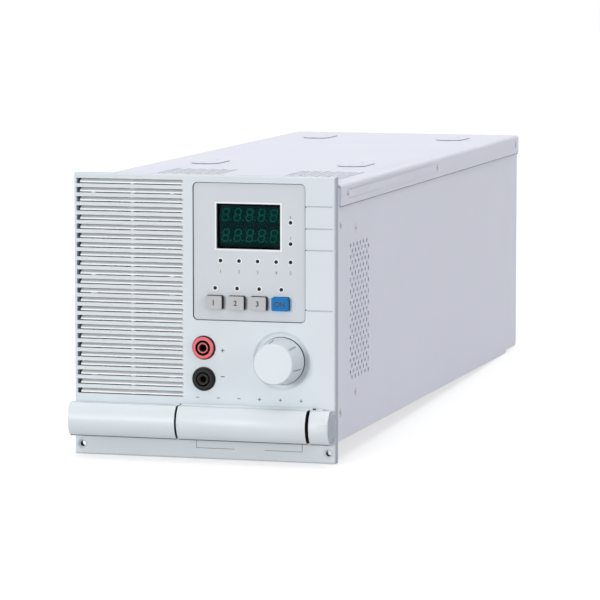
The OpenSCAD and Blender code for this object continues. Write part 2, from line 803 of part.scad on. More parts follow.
module socket_body() {
  rotate([-90, 0, 0]) rotate_extrude() polygon([
    [jack_r + 0.53, -socket_proud], [3.4, -socket_proud], [3.4, 8], [4.5, 8], [4.5, -socket_proud],
    [socket_r - 0.5, -socket_proud], [socket_r, 0.5 - socket_proud], [socket_r, -0.5], [socket_r - 0.7, -0.5],
    [socket_r - 0.7, socket_len], [jack_r + 0.53, socket_len]]);
}

module socket_red() color([0.85, 0.2, 0.24]) {
  translate([socket_x, 0, socket_zc + socket_pitch / 2]) socket_body();
}

module socket_black() color([0.07, 0.07, 0.08]) {
  translate([socket_x, 0, socket_zc - socket_pitch / 2]) socket_body();
}

module socket_contacts() color([0.8, 0.68, 0.4]) {
  at_sockets() difference() {
    union() {
      rod_y(jack_r + 0.5, 0.6 - socket_proud, socket_len + 4);
      box(-1.5, 1.5, socket_len + 3.5, socket_len + 9, -0.4, 0.4);
    }
    rod_y(jack_r, -socket_proud, socket_len + 2);
  }
}

module socket_nuts() color([0.75, 0.75, 0.77]) {
  at_sockets() translate([0, panel_wall, 0]) rotate([-90, 0, 0]) difference() {
    cylinder(r = socket_r + 1.8, h = panel_edge - panel_wall - 0.2, $fn = 6);
    translate([0, 0, -1]) cylinder(r = socket_r - 0.65, h = panel_edge);
  }
}

module socket_gaskets() color([0.05, 0.05, 0.05]) {
  at_sockets() difference() {
    rod_y(socket_r + 0.6, -0.5, 0);
    rod_y(socket_r - 0.65, -1, 1);
  }
}

// Handle bar and terminal cover

// Nose part of the bar section in (y, z)
module bar_nose(r) {
  translate([nose_y, bar_zc]) circle(r, $fn = 96);
}

module bar_outline() {
  intersection() {
    bar_nose(nose_r);
    translate([-bar_proud - 1, bar_z0]) square([bar_proud + 1 - neck_d, bar_h]);
  }
  translate([-neck_d - eps, bar_zc - neck_h / 2]) square([neck_d + eps, neck_h]);
}

// Hollow of the hood, open below
module bar_hollow() {
  intersection() {
    union() {
      bar_nose(nose_r - bar_wall);
      translate([nose_sag + bar_wall - bar_proud, bar_z0 - 2]) square([bar_proud, bar_h / 2]);
      translate([nose_y, bar_z0 - 2]) square([bar_proud, bar_h + 4]);
    }
    union() {
      translate([-bar_proud - 1, bar_z0 - 1]) square([bar_proud + 1 - neck_d - bar_wall, bar_h + 1 - bar_wall]);
      translate([-neck_d - bar_wall - eps, bar_z0 - 1]) {
        square([neck_d + bar_wall + 1, bar_zc + neck_h / 2 - bar_wall - bar_z0 + 1]);
      }
    }
  }
}

module bar_boss(x) {
  translate([x, 0, bar_zc]) rod_y(3.2, -bar_proud + bar_wall / 2, 0);
}

// Ear that carries a hinge pin in the valley behind the bar
module hinge_ear(x0, x1) {
  translate([0, hinge_y, hinge_z]) rod_x(ear_r, x0, x1);
  box(x0, x1, hinge_y - barrel_r - 0.6, -0.6, bar_zc + neck_h / 2 - 1, hinge_z);
}

// Bar piece from x0 to x1, hollow, its outer end e (-1 left, 1 right) rounded seen from above
module bar_piece(x0, x1, e) {
  xc = e < 0 ? x0 + end_r : x1 - end_r;
  intersection() {
    difference() {
      along_x(x0, x1) bar_outline();
      along_x(x0 + bar_wall, x1 - bar_wall) bar_hollow();
    }
    translate([0, 0, bar_z0 - 1]) linear_extrude(bar_h + 2) {
      translate([e < 0 ? xc : x0 - 1, -bar_proud - 1]) square([x1 - x0 - end_r + 1, bar_proud + 2]);
      translate([x0, end_r - bar_proud - 0.2]) square([x1 - x0, bar_proud - end_r + 2]);
      translate([xc, end_r - bar_proud - 0.2]) circle(end_r);
    }
  }
}

module handle_grip() color([0.87, 0.9, 0.92]) {
  difference() {
    union() {
      bar_piece(grip_x0, grip_x1, -1);
      bar_boss(bar_screw_x[0]);
      bar_boss(bar_screw_x[1]);
      hinge_ear(grip_x1 - 4, grip_x1);
    }
    at_bar_screws() rod_y(pilot_r, -9, 1);
    translate([0, hinge_y, hinge_z]) rod_x(pin_r + 0.01, grip_x1 - 3.5, grip_x1 + 1);
  }
}

module hinge_block() color([0.87, 0.9, 0.92]) {
  difference() {
    union() {
      bar_piece(block_x0, block_x1, 1);
      bar_boss(bar_screw_x[2]);
      hinge_ear(ear_x, ear_x + 4);
    }
    at_bar_screws() rod_y(pilot_r, -9, 1);
    translate([0, hinge_y, hinge_z]) {
      rod_x(ear_r + 0.1, cover_x1, ear_x);
      rod_x(pin_r + 0.01, cover_x1, ear_x + 3.5);
    }
  }
}

module terminal_cover() color([0.88, 0.91, 0.93]) {
  difference() {
    union() {
      intersection() {
        difference() {
          along_x(cover_x0, cover_x1) bar_outline();
          along_x(cover_x0 + bar_wall, cover_x1 - bar_wall) bar_hollow();
        }
        box(cover_x0 - 1, cover_x1 + 1, -bar_proud - 1, -neck_d, bar_z0 - 1, bar_z1 + 1);
      }
      translate([0, hinge_y, hinge_z]) rod_x(barrel_r, cover_x0, cover_x1 + barrel_over);
      box(cover_x0, cover_x1, -neck_d - 2, hinge_y, hinge_z - 1.5, bar_z1);
    }
    translate([0, hinge_y, hinge_z]) {
      rod_x(pin_r + pin_gap, cover_x0 - 1, cover_x0 + 8);
      rod_x(pin_r + pin_gap, cover_x1 - 6, cover_x1 + barrel_over + 1);
    }
  }
}

module hinge_pins() color([0.7, 0.7, 0.72]) {
  translate([0, hinge_y, hinge_z]) {
    rod_x(pin_r, grip_x1 - 3.4, cover_x0 + 7.5);
    rod_x(pin_r, cover_x1 - 5.5, ear_x + 3.4);
    rod_x(ear_r, collar_x, ear_x);
  }
}

// Terminals

module terminal_block() color([0.08, 0.08, 0.09]) {
  difference() {
    union() {
      box(term_x - term_half, term_x + term_half, -tab_y, 12, block_z0, block_z1);
      box(term_x - term_half - 0.3, term_x + term_half + 0.3, panel_wall, panel_wall + 1.8, block_z1 - 1,
          block_z1 + 2);
      for (i = [-2 : 2]) translate([term_x + i * term_pitch, 0, 0]) {
        box(-0.75, 0.75, -fin_y, 0, block_z0, hood_z1 - 0.6);
      }
    }
    at_terms() {
      box(-4.2, 4.2, -4, 13, -5.2, -1.8);
      translate([0, 0, term_lift]) rod_y(term_screw_r + 0.2, -4, 5);
    }
  }
}

module terminal_tabs() color([0.82, 0.66, 0.32]) {
  at_terms() difference() {
    union() {
      box(-tab_w / 2, tab_w / 2, -tab_y - tab_t, -tab_y, -tab_h / 2, tab_h / 2);
      box(-4, 4, -tab_y - eps, 16, -5, -2);
    }
    translate([0, 0, term_lift]) rod_y(term_screw_r + fit, -tab_y - tab_t - 1, -tab_y + 1);
  }
}

module terminal_screws() color([0.72, 0.72, 0.74]) {
  at_terms() translate([0, 0, term_lift]) difference() {
    union() {
      rod_y(term_screw_r, -tab_y - tab_t - 1, 4);
      rod_y(term_head_r, -tab_y - tab_t - 2.5, -tab_y - tab_t);
    }
    box(-0.5, 0.5, -tab_y - tab_t - 3, -tab_y - tab_t - 1.5, -3, 3);
    box(-3, 3, -tab_y - tab_t - 3, -tab_y - tab_t - 1.5, -0.5, 0.5);
  }
}

module busbar_negative() color([0.78, 0.45, 0.28]) {
  x0 = board_x + board_t;
  x1 = term_x - 0.5 * term_pitch + 4;
  box(term_x - 2.5 * term_pitch - 4, x1, bus_y0, bus_y0 + bus_w, bus_z, bus_z + bus_t);
  box(x0, x0 + bus_w + 2, bus_y0 + bus_w - eps, neg_end, bus_z, bus_z + bus_t);
  box(x0, x0 + bus_t, neg_end - bus_w, neg_end, bus_z, bus_z + bus_rise);
}

module busbar_positive() color([0.78, 0.45, 0.28]) {
  x0 = board_x + board_t;
  x1 = term_x + 0.5 * term_pitch - 1;
  box(x1 - 3, term_x + 2.5 * term_pitch + 4, bus_y0, bus_y0 + bus_w, bus_z, bus_z + bus_t);
  box(x1, x1 + bus_w, bus_y0 + bus_w - eps, pos_end, bus_z, bus_z + bus_t);
  box(x0, x1 + bus_w, pos_end - bus_w, pos_end, bus_z, bus_z + bus_t);
  box(x0, x0 + bus_t, pos_end - bus_w, pos_end, bus_z, bus_z + bus_rise);
}

// Chassis

// Outline of a side plate in (y, z)
module side_outline() {
  c = 4;
  difference() {
    translate([panel_edge, floor_z]) square([chassis_d - panel_edge, tray_top - floor_z]);
    translate([floor_y1, floor_z - 1]) square([floor_short + 1, bend_r + 1]);
    translate([chassis_d - c, floor_z + bend_r - 1]) square([c + 1, c + 1]);
  }
  translate([chassis_d - c, floor_z + bend_r + c]) circle(c);
}

// Side plate on the side s, with its screw holes
module side_plate(s) {
  difference() {
    along_x(s > 0 ? tray_in : -half_w, s > 0 ? half_w : -tray_in) side_outline();
    for (z = edge_screw_z) translate([s * half_w, edge_screw_y, z]) {
      rotate([0, 0, s > 0 ? 0 : 180]) flat_cut_x();
    }
    for (y = lip_screw_y) translate([s * half_w, y, lip_screw_z]) rod_x(screw_r + fit, -3, 3);
  }
}

module side_right() color([0.8, 0.81, 0.86]) {
  difference() {
    side_plate(1);
    translate([tray_in - 1, 34.5, cover_z1 - 38.6 - 23 * vent_dz]) rotate([90, 0, 90]) linear_extrude(sheet + 2)
      vent_field(12, 12);
    for (z = bracket_z) translate([half_w, bracket_y, z]) flat_cut_x();
  }
}

module side_left() color([0.8, 0.81, 0.86]) side_plate(-1);

module floor_pan() color([0.8, 0.81, 0.86]) {
  difference() {
    union() {
      box(-tray_in, tray_in, panel_edge, floor_y1, floor_z, floor_top);
      for (s = [-1, 1]) {
        box(s > 0 ? sub_x - sheet : -sub_x, s > 0 ? sub_x : sheet - sub_x, sub_y1 + 13, rear_y0 - 2,
            floor_top - eps, floor_top + 10);
      }
    }
    for (s = [-1, 1]) translate([s * (half_w - 20), rear_y0 - 5, floor_z]) rotate([0, 90, 0]) flat_cut_x();
  }
}

module cover_section(top, side) {
  w = 2 * side;
  translate([-side, top - bend_r - lip_h]) square([w, lip_h]);
  translate([-side + bend_r, top - bend_r - 1]) square([w - 2 * bend_r, bend_r + 1]);
  for (s = [-1, 1]) translate([s * (side - bend_r), top - bend_r]) circle(bend_r);
}

module pad_shape() {
  square([pad_w, pad_l - pad_w], center = true);
  for (s = [-1, 1]) translate([0, s * (pad_l - pad_w) / 2]) circle(pad_w / 2);
}

module top_cover() color([0.87, 0.88, 0.93]) {
  in_x = half_w + sheet_gap;
  in_z = cover_z1 - sheet;
  difference() {
    union() {
      along_y(cover_y0, chassis_d) difference() {
        intersection() {
          cover_section(cover_z1, lip_x);
          translate([-lip_x, cover_z1 - lip_h]) square([2 * lip_x, lip_h]);
        }
        translate([-in_x, in_z - bend_r - lip_h]) square([2 * in_x, lip_h + bend_r - 0.8]);
        translate([-in_x + 0.8, in_z - 2]) square([2 * in_x - 1.6, 2]);
        for (s = [-1, 1]) translate([s * (in_x - 0.8), in_z - 0.8]) circle(0.8);
      }
      for (s = [-1, 1], y = pad_y) translate([s * pad_x, y, cover_z1 - eps]) {
        linear_extrude(pad_h + eps) pad_shape();
      }
    }
    for (x = [-52, 31]) translate([x, 52, in_z - 1]) linear_extrude(sheet + 2) vent_field(11, 9);
    for (s = [-1, 1], y = pad_y, e = [-1, 1]) {
      translate([s * pad_x, y + e * (pad_l / 2 - 3.2), in_z - 1]) cylinder(r = 1.4, h = 4);
    }
    for (s = [-1, 1], y = lip_screw_y) {
      translate([s * lip_x, y, lip_screw_z]) rotate([0, 0, s > 0 ? 0 : 180]) flat_cut_x();
    }
  }
}

module rear_panel() color([0.8, 0.81, 0.86]) {
  difference() {
    union() {
      box(-sub_x, sub_x, rear_y0, rear_y0 + sheet, floor_top, tray_top);
      box(-sub_x + 6, sub_x - 6, rear_y0 - 11, rear_y0 + eps, floor_top, floor_top + sheet);
    }
    for (i = [0 : 18]) {
      z = floor_top + 14 + i * (tray_top - floor_top - 28) / 18;
      box(fan_x - 29, fan_x + 29, rear_y0 - 1, rear_y0 + sheet + 1, z - 1.8, z + 1.8);
    }
    translate([plug_x, 0, plug_z]) box(-plug_w / 2 - 0.1, plug_w / 2 + 0.1, rear_y0 - 1, rear_y0 + sheet + 1,
      -plug_h / 2 - 0.1, plug_h / 2 + 0.1);
    for (s = [-1, 1]) translate([s * (half_w - 20), rear_y0 - 5, floor_top]) {
      cylinder(r = screw_r + fit, h = 5, center = true);
    }
  }
}

module flat_screws() color([0.72, 0.72, 0.75]) {
  for (s = [-1, 1]) {
    for (y = lip_screw_y) translate([s * lip_x, y, lip_screw_z]) {
      rotate([0, 0, s > 0 ? 0 : 180]) flat_screw_x(6);
    }
    for (z = edge_screw_z) translate([s * half_w, edge_screw_y, z]) {
      rotate([0, 0, s > 0 ? 0 : 180]) flat_screw_x(edge_screw_len);
    }
    translate([s * (half_w - 20), rear_y0 - 5, floor_z]) rotate([0, 90, 0]) flat_screw_x(6);
  }
  for (z = bracket_z) translate([half_w, bracket_y, z]) flat_screw_x(6);
}

module at_pins() {
  for (i = [0 : 15], r = [-1, 1]) translate([plug_x + (i - 7.5) * pin_pitch, 0, plug_z + r * 2]) children();
}

module rear_connector() color([0.16, 0.16, 0.17]) {
  y0 = rear_y0 - 6;
  y1 = rear_y0 + sheet + plug_d;
  difference() {
    translate([plug_x, 0, plug_z]) difference() {
      union() {
        box(-plug_w / 2, plug_w / 2, y0, y1, -plug_h / 2, plug_h / 2);
        box(-plug_w / 2 - 3, plug_w / 2 + 3, rear_y0 + sheet, rear_y0 + sheet + 2, -plug_h / 2 - 2,
            plug_h / 2 + 2);
      }
      box(2 - plug_w / 2, plug_w / 2 - 2, y1 - 9, y1 + 1, 2 - plug_h / 2, plug_h / 2 - 2);
    }
    at_pins() rod_y(0.55, y0 - 1, y1, $fn = 16);
  }
}

module connector_pins() color([0.85, 0.7, 0.35]) {
  at_pins() rod_y(0.5, rear_y0 - 9, rear_y0 + sheet + plug_d - 2, $fn = 16);
}

// Inside

module fan_frames() color([0.1, 0.1, 0.11]) {
  at_fans() difference() {
    union() {
      difference() {
        along_y(sub_y1, fan_y1) round_rect(fan_size, fan_size, 3);
        rod_y(fan_bore, sub_y1 - 1, fan_y1 + 1, $fn = 64);
      }
      rod_y(12, fan_y1 - 4, fan_y1);
      for (a = [45 : 90 : 315]) rotate([0, a, 0]) box(10, fan_bore + 0.6, fan_y1 - 3, fan_y1, -1.5, 1.5);
    }
    rod_y(1.5 + fit, fan_y1 - 5, fan_y1 - 1);
    for (sx = [-1, 1], sz = [-1, 1]) {
      translate([sx * fan_hole, 0, sz * fan_hole]) rod_y(2.1, sub_y1 - 1, fan_y1 + 1);
    }
  }
}

module fan_rotor(z) {
  translate([fan_x, 0, z]) {
    rod_y(11.5, sub_y1 + 2, fan_y1 - 4.5);
    rod_y(1.5, fan_y1 - 5, fan_y1 - 1.3);
    intersection() {
      rod_y(rotor_r, sub_y1 + 1, fan_y1, $fn = 64);
      for (a = [0 : 51.43 : 320]) rotate([0, a, 0]) translate([11, (sub_y1 + fan_y1) / 2 - 1.5, 0]) {
        rotate([38, 0, 0]) translate([-1, -9, -0.6]) cube([20, 18, 1.2]);
      }
    }
  }
}

module fan_rotor_1() color([0.13, 0.13, 0.14]) fan_rotor(fan_z[0]);
module fan_rotor_2() color([0.13, 0.13, 0.14]) fan_rotor(fan_z[1]);

module fan_screws() color([0.7, 0.7, 0.72]) {
  at_fans() for (sx = [-1, 1], sz = [-1, 1]) {
    translate([sx * fan_hole, fan_y1, sz * fan_hole]) pan_screw_y(1.9, fan_d + sheet - 0.2, 3.2, 2);
  }
}

module heat_sink() color([0.75, 0.76, 0.78]) {
  difference() {
    along_y(sink_y, sink_y + sink_l) {
      translate([sink_x0, floor_top]) square([sink_base, sink_z1 - floor_top]);
      for (i = [0 : fin_count - 1]) {
        translate([fin_x0, floor_top + 5 + i * (sink_z1 - floor_top - 6 - fin_t) / (fin_count - 1)]) {
          square([sink_x0 - fin_x0 + 1, fin_t]);
        }
      }
    }
  }
}

module power_transistors() color([0.09, 0.09, 0.1]) {
  step = (sink_l - 4.4 * part_w) / 7;
  mid = part_t / 2;
  y0 = sink_y + 2 * part_w;
  for (i = [0 : 7], z = [part_low, part_high]) translate([sink_x1, y0 + i * step, floor_top + z]) {
    box(0, part_t, -part_w / 2, part_w / 2, 0, part_h);
    for (y = [-part_w / 3, 0, part_w / 3]) {
      box(mid, mid + 0.8, y - 0.6, y + 0.6, -4, 0.5);
      box(mid, standoff_h, y - 0.6, y + 0.6, -4, -3.2);
    }
  }
}

module power_board() color([0.1, 0.32, 0.2]) {
  difference() {
    box(board_x, board_x + board_t, board_y[0], board_y[1], board_z[0], board_z[1]);
    at_power_posts() rod_x(1.6, board_x - 1, board_x + board_t + 1);
  }
}

module capacitors() color([0.2, 0.22, 0.3]) {
  step = (board_y[1] - board_y[0] - 1.5 * can_start) / 7;
  for (i = [0 : 7]) translate([0, board_y[0] + can_start + i * step, board_z[1] - 24]) {
    rod_x(can_r, board_x + board_t, board_x + board_t + can_l);
  }
}

module shunts() color([0.55, 0.5, 0.42]) {
  y0 = board_y[0] + shunt_start;
  for (i = [0 : 3]) translate([board_x + board_t, y0 + i * shunt_pitch, board_z[0] + shunt_lift]) difference() {
    box(0, shunt_h, -shunt_l / 2, shunt_l / 2, -shunt_w / 2, shunt_w / 2);
    box(-1, shunt_h - 2, 3 - shunt_l / 2, shunt_l / 2 - 3, -shunt_w, shunt_w);
  }
}

module control_board() color([0.1, 0.32, 0.2]) {
  difference() {
    box(control_x[0], control_x[1], control_y[0], control_y[1], control_z, control_z + board_t);
    at_control_posts() translate([0, 0, control_z - 1]) cylinder(r = 1.6, h = board_t + 2);
  }
}

module aux_transformer() color([0.35, 0.3, 0.22]) {
  translate([(control_x[0] + control_x[1]) / 2, control_y[1] - 60, control_z + board_t]) {
    box(2 - core_w / 2, core_w / 2 - 2, -core_l / 2, core_l / 2, 0, 5);
    box(-core_w / 2, core_w / 2, -core_l / 4, core_l / 4, 5 - eps, core_h);
    box(-core_w * 0.27, core_w * 0.27, 1 - core_l / 2, core_l / 2 - 1, 5 - eps, core_h - 2);
  }
}

module measure_board() color([0.1, 0.32, 0.2]) {
  y0 = bracket_y + 6;
  difference() {
    box(tray_in - 3 - measure_w, tray_in - 3, y0, y0 + board_t, bracket_z[0] - 6, bracket_z[1] + 6);
    for (z = bracket_z) translate([tray_in - 14, 0, z]) rod_y(1.6, y0 - 1, y0 + board_t + 1);
  }
}

module board_brackets() color([0.78, 0.78, 0.8]) {
  for (z = bracket_z) translate([0, 0, z]) difference() {
    union() {
      box(tray_in - sheet, tray_in, bracket_y - 6, bracket_y + 6, -6, 6);
      box(tray_in - 22, tray_in, bracket_y + 6 - sheet, bracket_y + 6, -6, 6);
      translate([tray_in - 14, 0, 0]) rod_y(1.5, bracket_y + 5, bracket_y + 6 + board_t + 1);
    }
    translate([tray_in, bracket_y, 0]) rod_x(screw_r + fit, -3, 1);
  }
}

// Moves a piece from the panel frame to the part frame
module placed() {
  translate([0, -frame_y, 0]) children();
}

placed() front_panel();
placed() louvre_vanes();
placed() sub_panel();
placed() panel_screws();
placed() control_plate();
placed() display_lens();
placed() display_modules();
placed() display_board();
placed() standoffs();
placed() board_screws();
placed() indicator_leds();
placed() key_1_plunger();
placed() key_1_cap();
placed() key_2_plunger();
placed() key_2_cap();
placed() key_3_plunger();
placed() key_3_cap();
placed() key_4_plunger();
placed() key_4_cap();
placed() key_switches();
placed() encoder();
placed() encoder_nut();
placed() encoder_shaft();
placed() knob();
placed() socket_red();
placed() socket_black();
placed() socket_contacts();
placed() socket_nuts();
placed() socket_gaskets();
placed() handle_grip();
placed() hinge_block();
placed() terminal_cover();
placed() hinge_pins();
placed() terminal_block();
placed() terminal_tabs();
placed() terminal_screws();
placed() busbar_positive();
placed() busbar_negative();
placed() floor_pan();
placed() side_left();
placed() side_right();
placed() top_cover();
placed() rear_panel();
placed() flat_screws();
placed() rear_connector();
placed() connector_pins();
placed() fan_frames();
placed() fan_rotor_1();
placed() fan_rotor_2();
placed() fan_screws();
placed() heat_sink();
placed() power_transistors();
placed() power_board();
placed() capacitors();
placed() shunts();
placed() control_board();
placed() aux_transformer();
placed() measure_board();
placed() board_brackets();
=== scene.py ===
"""Looks of a two-slot DC electronic load module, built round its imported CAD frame."""

import json
import math

import bmesh
import bpy
from mathutils import Matrix, Vector


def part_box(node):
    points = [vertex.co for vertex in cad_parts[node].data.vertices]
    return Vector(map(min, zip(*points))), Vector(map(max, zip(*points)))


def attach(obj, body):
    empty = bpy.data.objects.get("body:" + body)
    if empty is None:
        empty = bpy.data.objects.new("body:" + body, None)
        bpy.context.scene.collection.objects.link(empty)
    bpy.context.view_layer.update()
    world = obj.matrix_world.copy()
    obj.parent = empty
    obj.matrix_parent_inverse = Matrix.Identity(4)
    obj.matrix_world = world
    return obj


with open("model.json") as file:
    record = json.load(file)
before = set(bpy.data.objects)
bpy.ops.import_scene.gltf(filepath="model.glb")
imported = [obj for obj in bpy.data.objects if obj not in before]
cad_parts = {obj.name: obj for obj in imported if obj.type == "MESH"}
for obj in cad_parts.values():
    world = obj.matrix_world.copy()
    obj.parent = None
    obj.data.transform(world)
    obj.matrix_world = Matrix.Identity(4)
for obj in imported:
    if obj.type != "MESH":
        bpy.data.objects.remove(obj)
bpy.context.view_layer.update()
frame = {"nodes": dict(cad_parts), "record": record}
NODES = frame["nodes"]

MM = 0.001
FACE_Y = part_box("front_panel")[0].y


# Helpers: colours and places

def linear(value):
    """Linear light of an sRGB level from 0 to 255."""
    value = value / 255.0
    if value <= 0.04045:
        return value / 12.92
    return ((value + 0.055) / 1.055) ** 2.4


def srgb(r, g, b):
    """Colour written as it should be seen, 0 to 255."""
    return (linear(r), linear(g), linear(b), 1.0)


def scaled(colour, factor):
    """The same hue, lighter or darker."""
    return tuple(min(1.0, c * factor) for c in colour[:3]) + (1.0,)


def at(x, y, z):
    """Place in millimetres from the middle of the panel's lower front edge."""
    return Vector((x * MM, FACE_Y + y * MM, z * MM))


def panel_mm(point):
    """The same measure for a point of the frame."""
    return Vector((point.x / MM, (point.y - FACE_Y) / MM, point.z / MM))


def span(node):
    """Low and high corner of a node's box, in that measure."""
    lo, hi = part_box(node)
    return panel_mm(lo), panel_mm(hi)


def islands(node, reach):
    """Middles in (x, z) of a node's separate pieces, from top to bottom and left to right."""
    groups = []
    for vert in NODES[node].data.vertices:
        spot = panel_mm(vert.co).xz
        near = [group for group in groups if (group[0] - spot).length < reach]
        if near:
            near[0].append(spot)
        else:
            groups.append([spot])
    middles = []
    for group in groups:
        xs = [spot.x for spot in group]
        zs = [spot.y for spot in group]
        middles.append(((min(xs) + max(xs)) / 2, (min(zs) + max(zs)) / 2))
    return sorted(middles, key=lambda middle: (-round(middle[1]), middle[0]))


def link(obj):
    bpy.context.scene.collection.objects.link(obj)


# Places of CAD nodes, in millimetres

PLATE_LO, PLATE_HI = span("control_plate")
LENS_LO, LENS_HI = span("display_lens")
BAR_LO, BAR_HI = span("handle_grip")
COVER_LO, COVER_HI = span("terminal_cover")
BLOCK_LO, BLOCK_HI = span("hinge_block")
KNOB_LO, KNOB_HI = span("knob")
TOP_LO, TOP_HI = span("top_cover")
PANEL_HI = span("front_panel")[1]
TRAY_HI = span("side_right")[1]
KNOB_MID = (KNOB_LO + KNOB_HI) / 2
KNOB_R = (KNOB_HI.x - KNOB_LO.x) / 2
PLATE_FACE = PLATE_LO.y
KEY_FACE = span("key_1_cap")[0].y
MODULE_FACE = span("display_modules")[0].y
SOCKET_FACE = span("socket_red")[0].y
DISH_FLOOR = 1.0
LED_REACH = 3.0
LEDS = islands("indicator_leds", LED_REACH)
KEYS = [(lo + hi) / 2 for lo, hi in (span("key_%d_cap" % i) for i in (1, 2, 3, 4))]
SOCKETS = [((lo + hi) / 2).xz for lo, hi in (span("socket_red"), span("socket_black"))]
FIXING = [row for row in frame["record"]["mounts"] if row["name"] == "panel_fixing"][0]


# Helpers: materials

NOISE_LOW, NOISE_HIGH = 0.3, 0.7
CLOUD_DETAIL = 4.0
GRAIN_DETAIL = 2.0
GLOSS_SPREAD = 0.06
GRAIN_DEPTH = 0.05


def new_material(name):
    mat = bpy.data.materials.new(name)
    mat.use_nodes = True
    tree = mat.node_tree
    tree.nodes.clear()
    out = tree.nodes.new("ShaderNodeOutputMaterial")
    shader = tree.nodes.new("ShaderNodeBsdfPrincipled")
    tree.links.new(shader.outputs["BSDF"], out.inputs["Surface"])
    return mat, tree, shader


def noise(tree, size_mm, detail=3.0, stretch=(1.0, 1.0, 1.0)):
    """Noise with grains of about that size in the piece's own space."""
    coords = tree.nodes.new("ShaderNodeTexCoord")
    mapping = tree.nodes.new("ShaderNodeMapping")
    mapping.inputs["Scale"].default_value = stretch
    tex = tree.nodes.new("ShaderNodeTexNoise")
    tex.inputs["Scale"].default_value = 1.0 / (size_mm * MM)
    tex.inputs["Detail"].default_value = detail
    tree.links.new(coords.outputs["Object"], mapping.inputs["Vector"])
    tree.links.new(mapping.outputs["Vector"], tex.inputs["Vector"])
    return tex.outputs["Fac"]


def tone(tree, shader, fac, dark, light):
    """Base colour that wanders between two tones."""
    ramp = tree.nodes.new("ShaderNodeValToRGB")
    ramp.color_ramp.elements[0].position = NOISE_LOW
    ramp.color_ramp.elements[0].color = dark
    ramp.color_ramp.elements[1].position = NOISE_HIGH
    ramp.color_ramp.elements[1].color = light
    tree.links.new(fac, ramp.inputs["Fac"])
    tree.links.new(ramp.outputs["Color"], shader.inputs["Base Color"])


def vary(tree, socket, fac, low, high):
    """Value of a socket that wanders between two limits."""
    spread = tree.nodes.new("ShaderNodeMapRange")
    spread.inputs["From Min"].default_value = NOISE_LOW
    spread.inputs["From Max"].default_value = NOISE_HIGH
    spread.inputs["To Min"].default_value = low
    spread.inputs["To Max"].default_value = high
    tree.links.new(fac, spread.inputs["Value"])
    tree.links.new(spread.outputs["Result"], socket)


def grain(tree, shader, fac, strength):
    bump = tree.nodes.new("ShaderNodeBump")
    bump.inputs["Strength"].default_value = strength
    bump.inputs["Distance"].default_value = GRAIN_DEPTH * MM
    tree.links.new(fac, bump.inputs["Height"])
    tree.links.new(bump.outputs["Normal"], shader.inputs["Normal"])


def surface(name, colour, rough, grain_mm, bump, spread=0.02, cloud_mm=35.0, metal=0.0,
            stretch=(1.0, 1.0, 1.0), specular=0.5):
    """Plain finish with cloudy tone, uneven gloss and a fine grain."""
    mat, tree, shader = new_material(name)
    cloud = noise(tree, cloud_mm, CLOUD_DETAIL)
    fine = noise(tree, grain_mm, GRAIN_DETAIL, stretch)
    tone(tree, shader, cloud, scaled(colour, 1.0 - spread), scaled(colour, 1.0 + spread))
    vary(tree, shader.inputs["Roughness"], fine, rough - GLOSS_SPREAD, rough + GLOSS_SPREAD)
    grain(tree, shader, fine, bump)
    shader.inputs["Metallic"].default_value = metal
    shader.inputs["Specular IOR Level"].default_value = specular
    return mat


def lens_material():
    """Smoked window with a coating that hardly mirrors."""
    mat, tree, shader = new_material("smoked_lens")
    tone(tree, shader, noise(tree, 9.0), srgb(118, 124, 124), srgb(122, 128, 128))
    vary(tree, shader.inputs["Roughness"], noise(tree, 3.0), 0.02, 0.05)
    grain(tree, shader, noise(tree, 6.0, 1.0), 0.02)
    shader.inputs["Transmission Weight"].default_value = 1.0
    shader.inputs["IOR"].default_value = 1.05
    return mat


def glow_material(name, colour, strength):
    """Dimly lit plastic: the glow is plain, the lit surface under it is dark."""
    mat, tree, shader = new_material(name)
    fine = noise(tree, 0.5, GRAIN_DETAIL)
    tone(tree, shader, fine, scaled(colour, 0.2), scaled(colour, 0.3))
    vary(tree, shader.inputs["Roughness"], fine, 0.35, 0.5)
    shader.inputs["Emission Color"].default_value = colour
    shader.inputs["Emission Strength"].default_value = strength
    return mat


def board_material():
    """Solder mask with a faint pattern of tracks under it."""
    mat, tree, shader = new_material("circuit_board")
    coords = tree.nodes.new("ShaderNodeTexCoord")
    bricks = tree.nodes.new("ShaderNodeTexBrick")
    bricks.inputs["Scale"].default_value = 90.0
    bricks.inputs["Mortar Size"].default_value = 0.03
    bricks.inputs["Color1"].default_value = srgb(26, 92, 58)
    bricks.inputs["Color2"].default_value = srgb(30, 100, 64)
    bricks.inputs["Mortar"].default_value = srgb(52, 128, 84)
    tree.links.new(coords.outputs["Object"], bricks.inputs["Vector"])
    tree.links.new(bricks.outputs["Color"], shader.inputs["Base Color"])
    vary(tree, shader.inputs["Roughness"], noise(tree, 4.0), 0.3, 0.45)
    grain(tree, shader, bricks.outputs["Fac"], 0.1)
    return mat


# Finishes: name, colour, roughness, grain in mm, bump, spread of tone, size of clouds in mm

PANEL = srgb(220, 228, 233)
BAR = srgb(225, 232, 236)
PLATE = srgb(207, 213, 218)
LAVENDER = srgb(238, 240, 253)
BLACK = srgb(14, 14, 15)
ALUMINIUM = srgb(196, 198, 202)
BRUSH_Y = (1.0, 0.04, 1.0)


